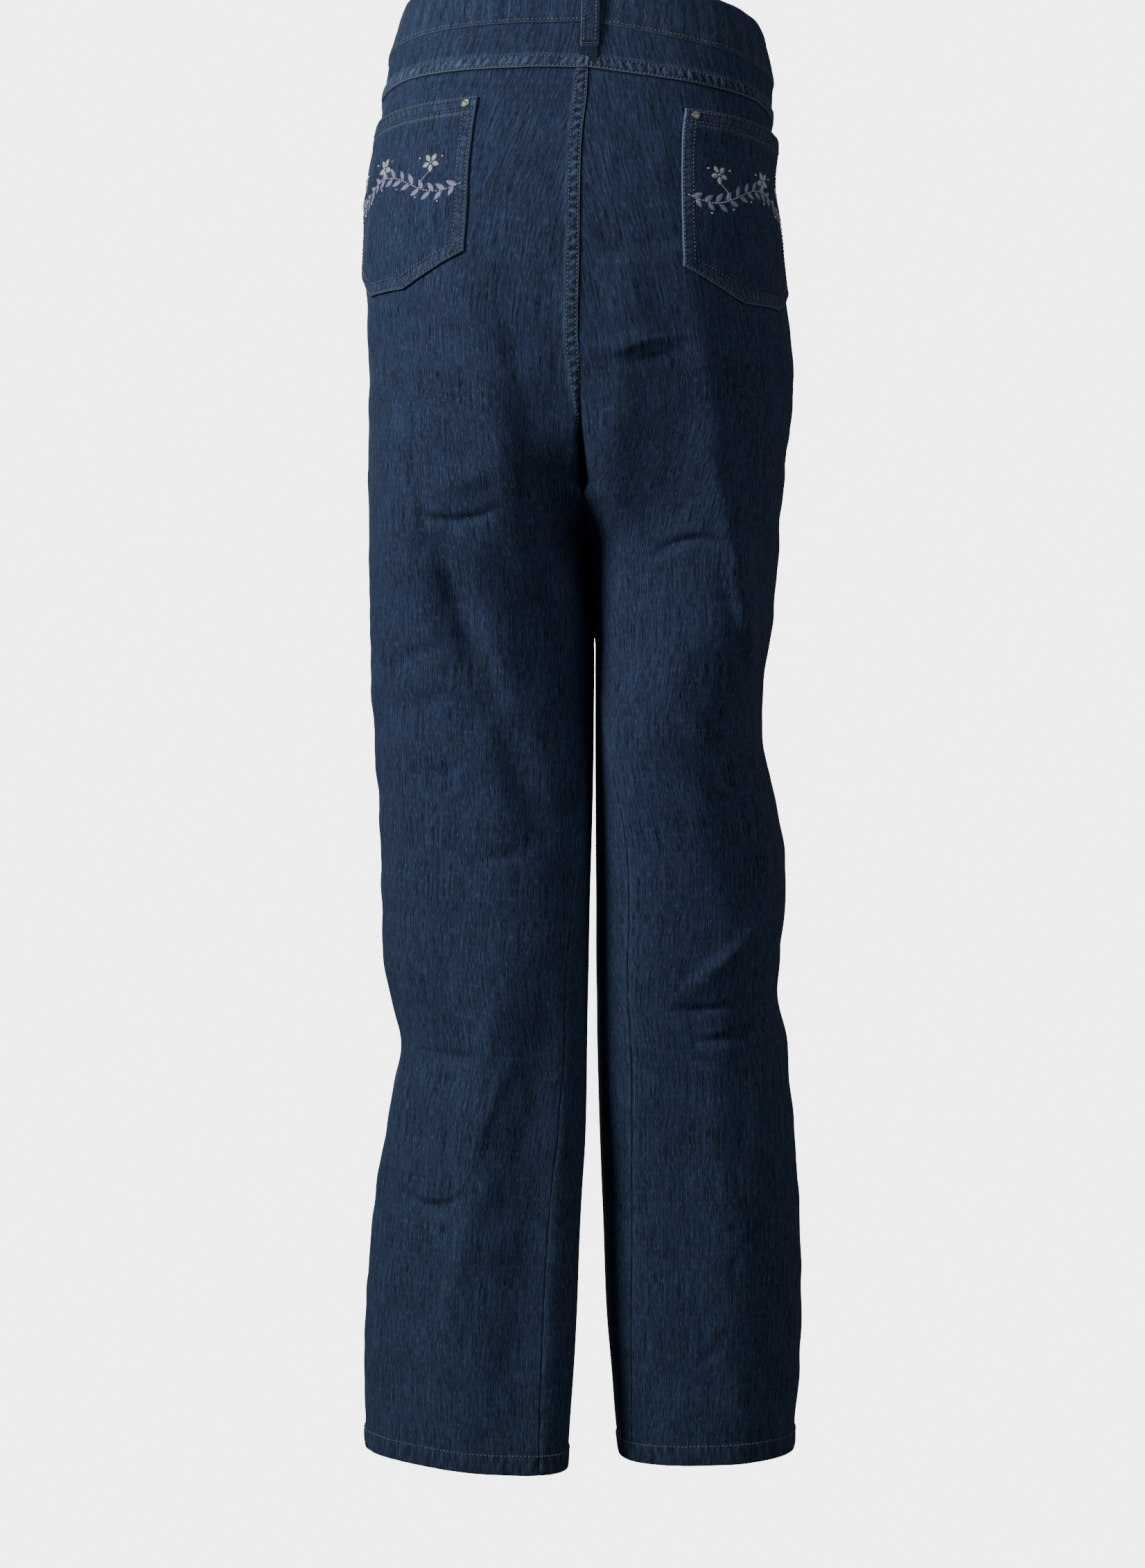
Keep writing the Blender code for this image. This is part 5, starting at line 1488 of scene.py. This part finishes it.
studio = {
    "cameraFrom": (0.0, 2.5, -0.585), "lens": 77.15,
    "backdrop": 4.7, "ambient": 0.07, "floorLevel": -1.13, "floorSize": 30.0,
    "key": {"from": (2.0, 1.25, 0.7), "at": (0.0, 0.0, -0.4), "size": 1.0, "power": 52.0},
    "fill": {"from": (-2.4, 1.9, 0.5), "at": (0.0, 0.0, -0.4), "size": 2.0, "power": 13.0},
    "behind": {"from": (0.4, -3.2, 0.7), "at": (0.0, 0.0, -0.5), "size": 2.0, "power": 55.0},
}


def aimedAt(place, target):
    return (Vector(target) - Vector(place)).to_track_quat("-Z", "Y").to_euler()


def makeStudio():
    scene = bpy.context.scene
    cameraData = bpy.data.cameras.new("camera")
    cameraData.lens, cameraData.sensor_width = studio["lens"], 36.0
    camera = bpy.data.objects.new("camera", cameraData)
    camera.location = studio["cameraFrom"]
    camera.rotation_euler = (math.pi / 2, 0, math.pi)
    scene.collection.objects.link(camera)
    scene.camera = camera
    for name in ("key", "fill", "behind"):
        size = studio[name]
        lampData = bpy.data.lights.new(name, "AREA")
        lampData.shape, lampData.size, lampData.energy = "DISK", size["size"], size["power"]
        lamp = bpy.data.objects.new(name, lampData)
        lamp.location, lamp.rotation_euler = size["from"], aimedAt(size["from"], size["at"])
        scene.collection.objects.link(lamp)
    world = bpy.data.worlds.new("studio")
    world.use_nodes = True
    scene.world = world
    tree = world.node_tree
    tree.nodes.clear()
    soft = addNode(tree, "Background", {"Color": tone(0.95, 0.97, 1.0), "Strength": studio["ambient"]})
    plain = addNode(tree, "Background", {"Color": tone(1, 1, 1), "Strength": studio["backdrop"]})
    seen = addNode(tree, "LightPath").outputs["Is Camera Ray"]
    both = addNode(tree, "MixShader", {0: seen, 1: soft.outputs[0], 2: plain.outputs[0]})
    addNode(tree, "OutputWorld", {"Surface": both.outputs[0]})
    half = studio["floorSize"] / 2
    mesh = bpy.data.meshes.new("floor")
    mesh.from_pydata([(x, y, studio["floorLevel"]) for x, y in
                      ((-half, -half), (half, -half), (half, half), (-half, half))], [], [(0, 1, 2, 3)])
    floor = bpy.data.objects.new("floor", mesh)
    scene.collection.objects.link(floor)
    material, tree, shader = newMaterial("pale_floor")
    for label, value in (("Base Color", tone(0, 0, 0)), ("Emission Color", tone(1, 1, 1)),
                         ("Emission Strength", studio["backdrop"]), ("Specular IOR Level", 0.0)):
        shader.inputs[label].default_value = value
    mesh.materials.append(material)
    floor.visible_diffuse = floor.visible_glossy = floor.visible_shadow = False


makeStudio()
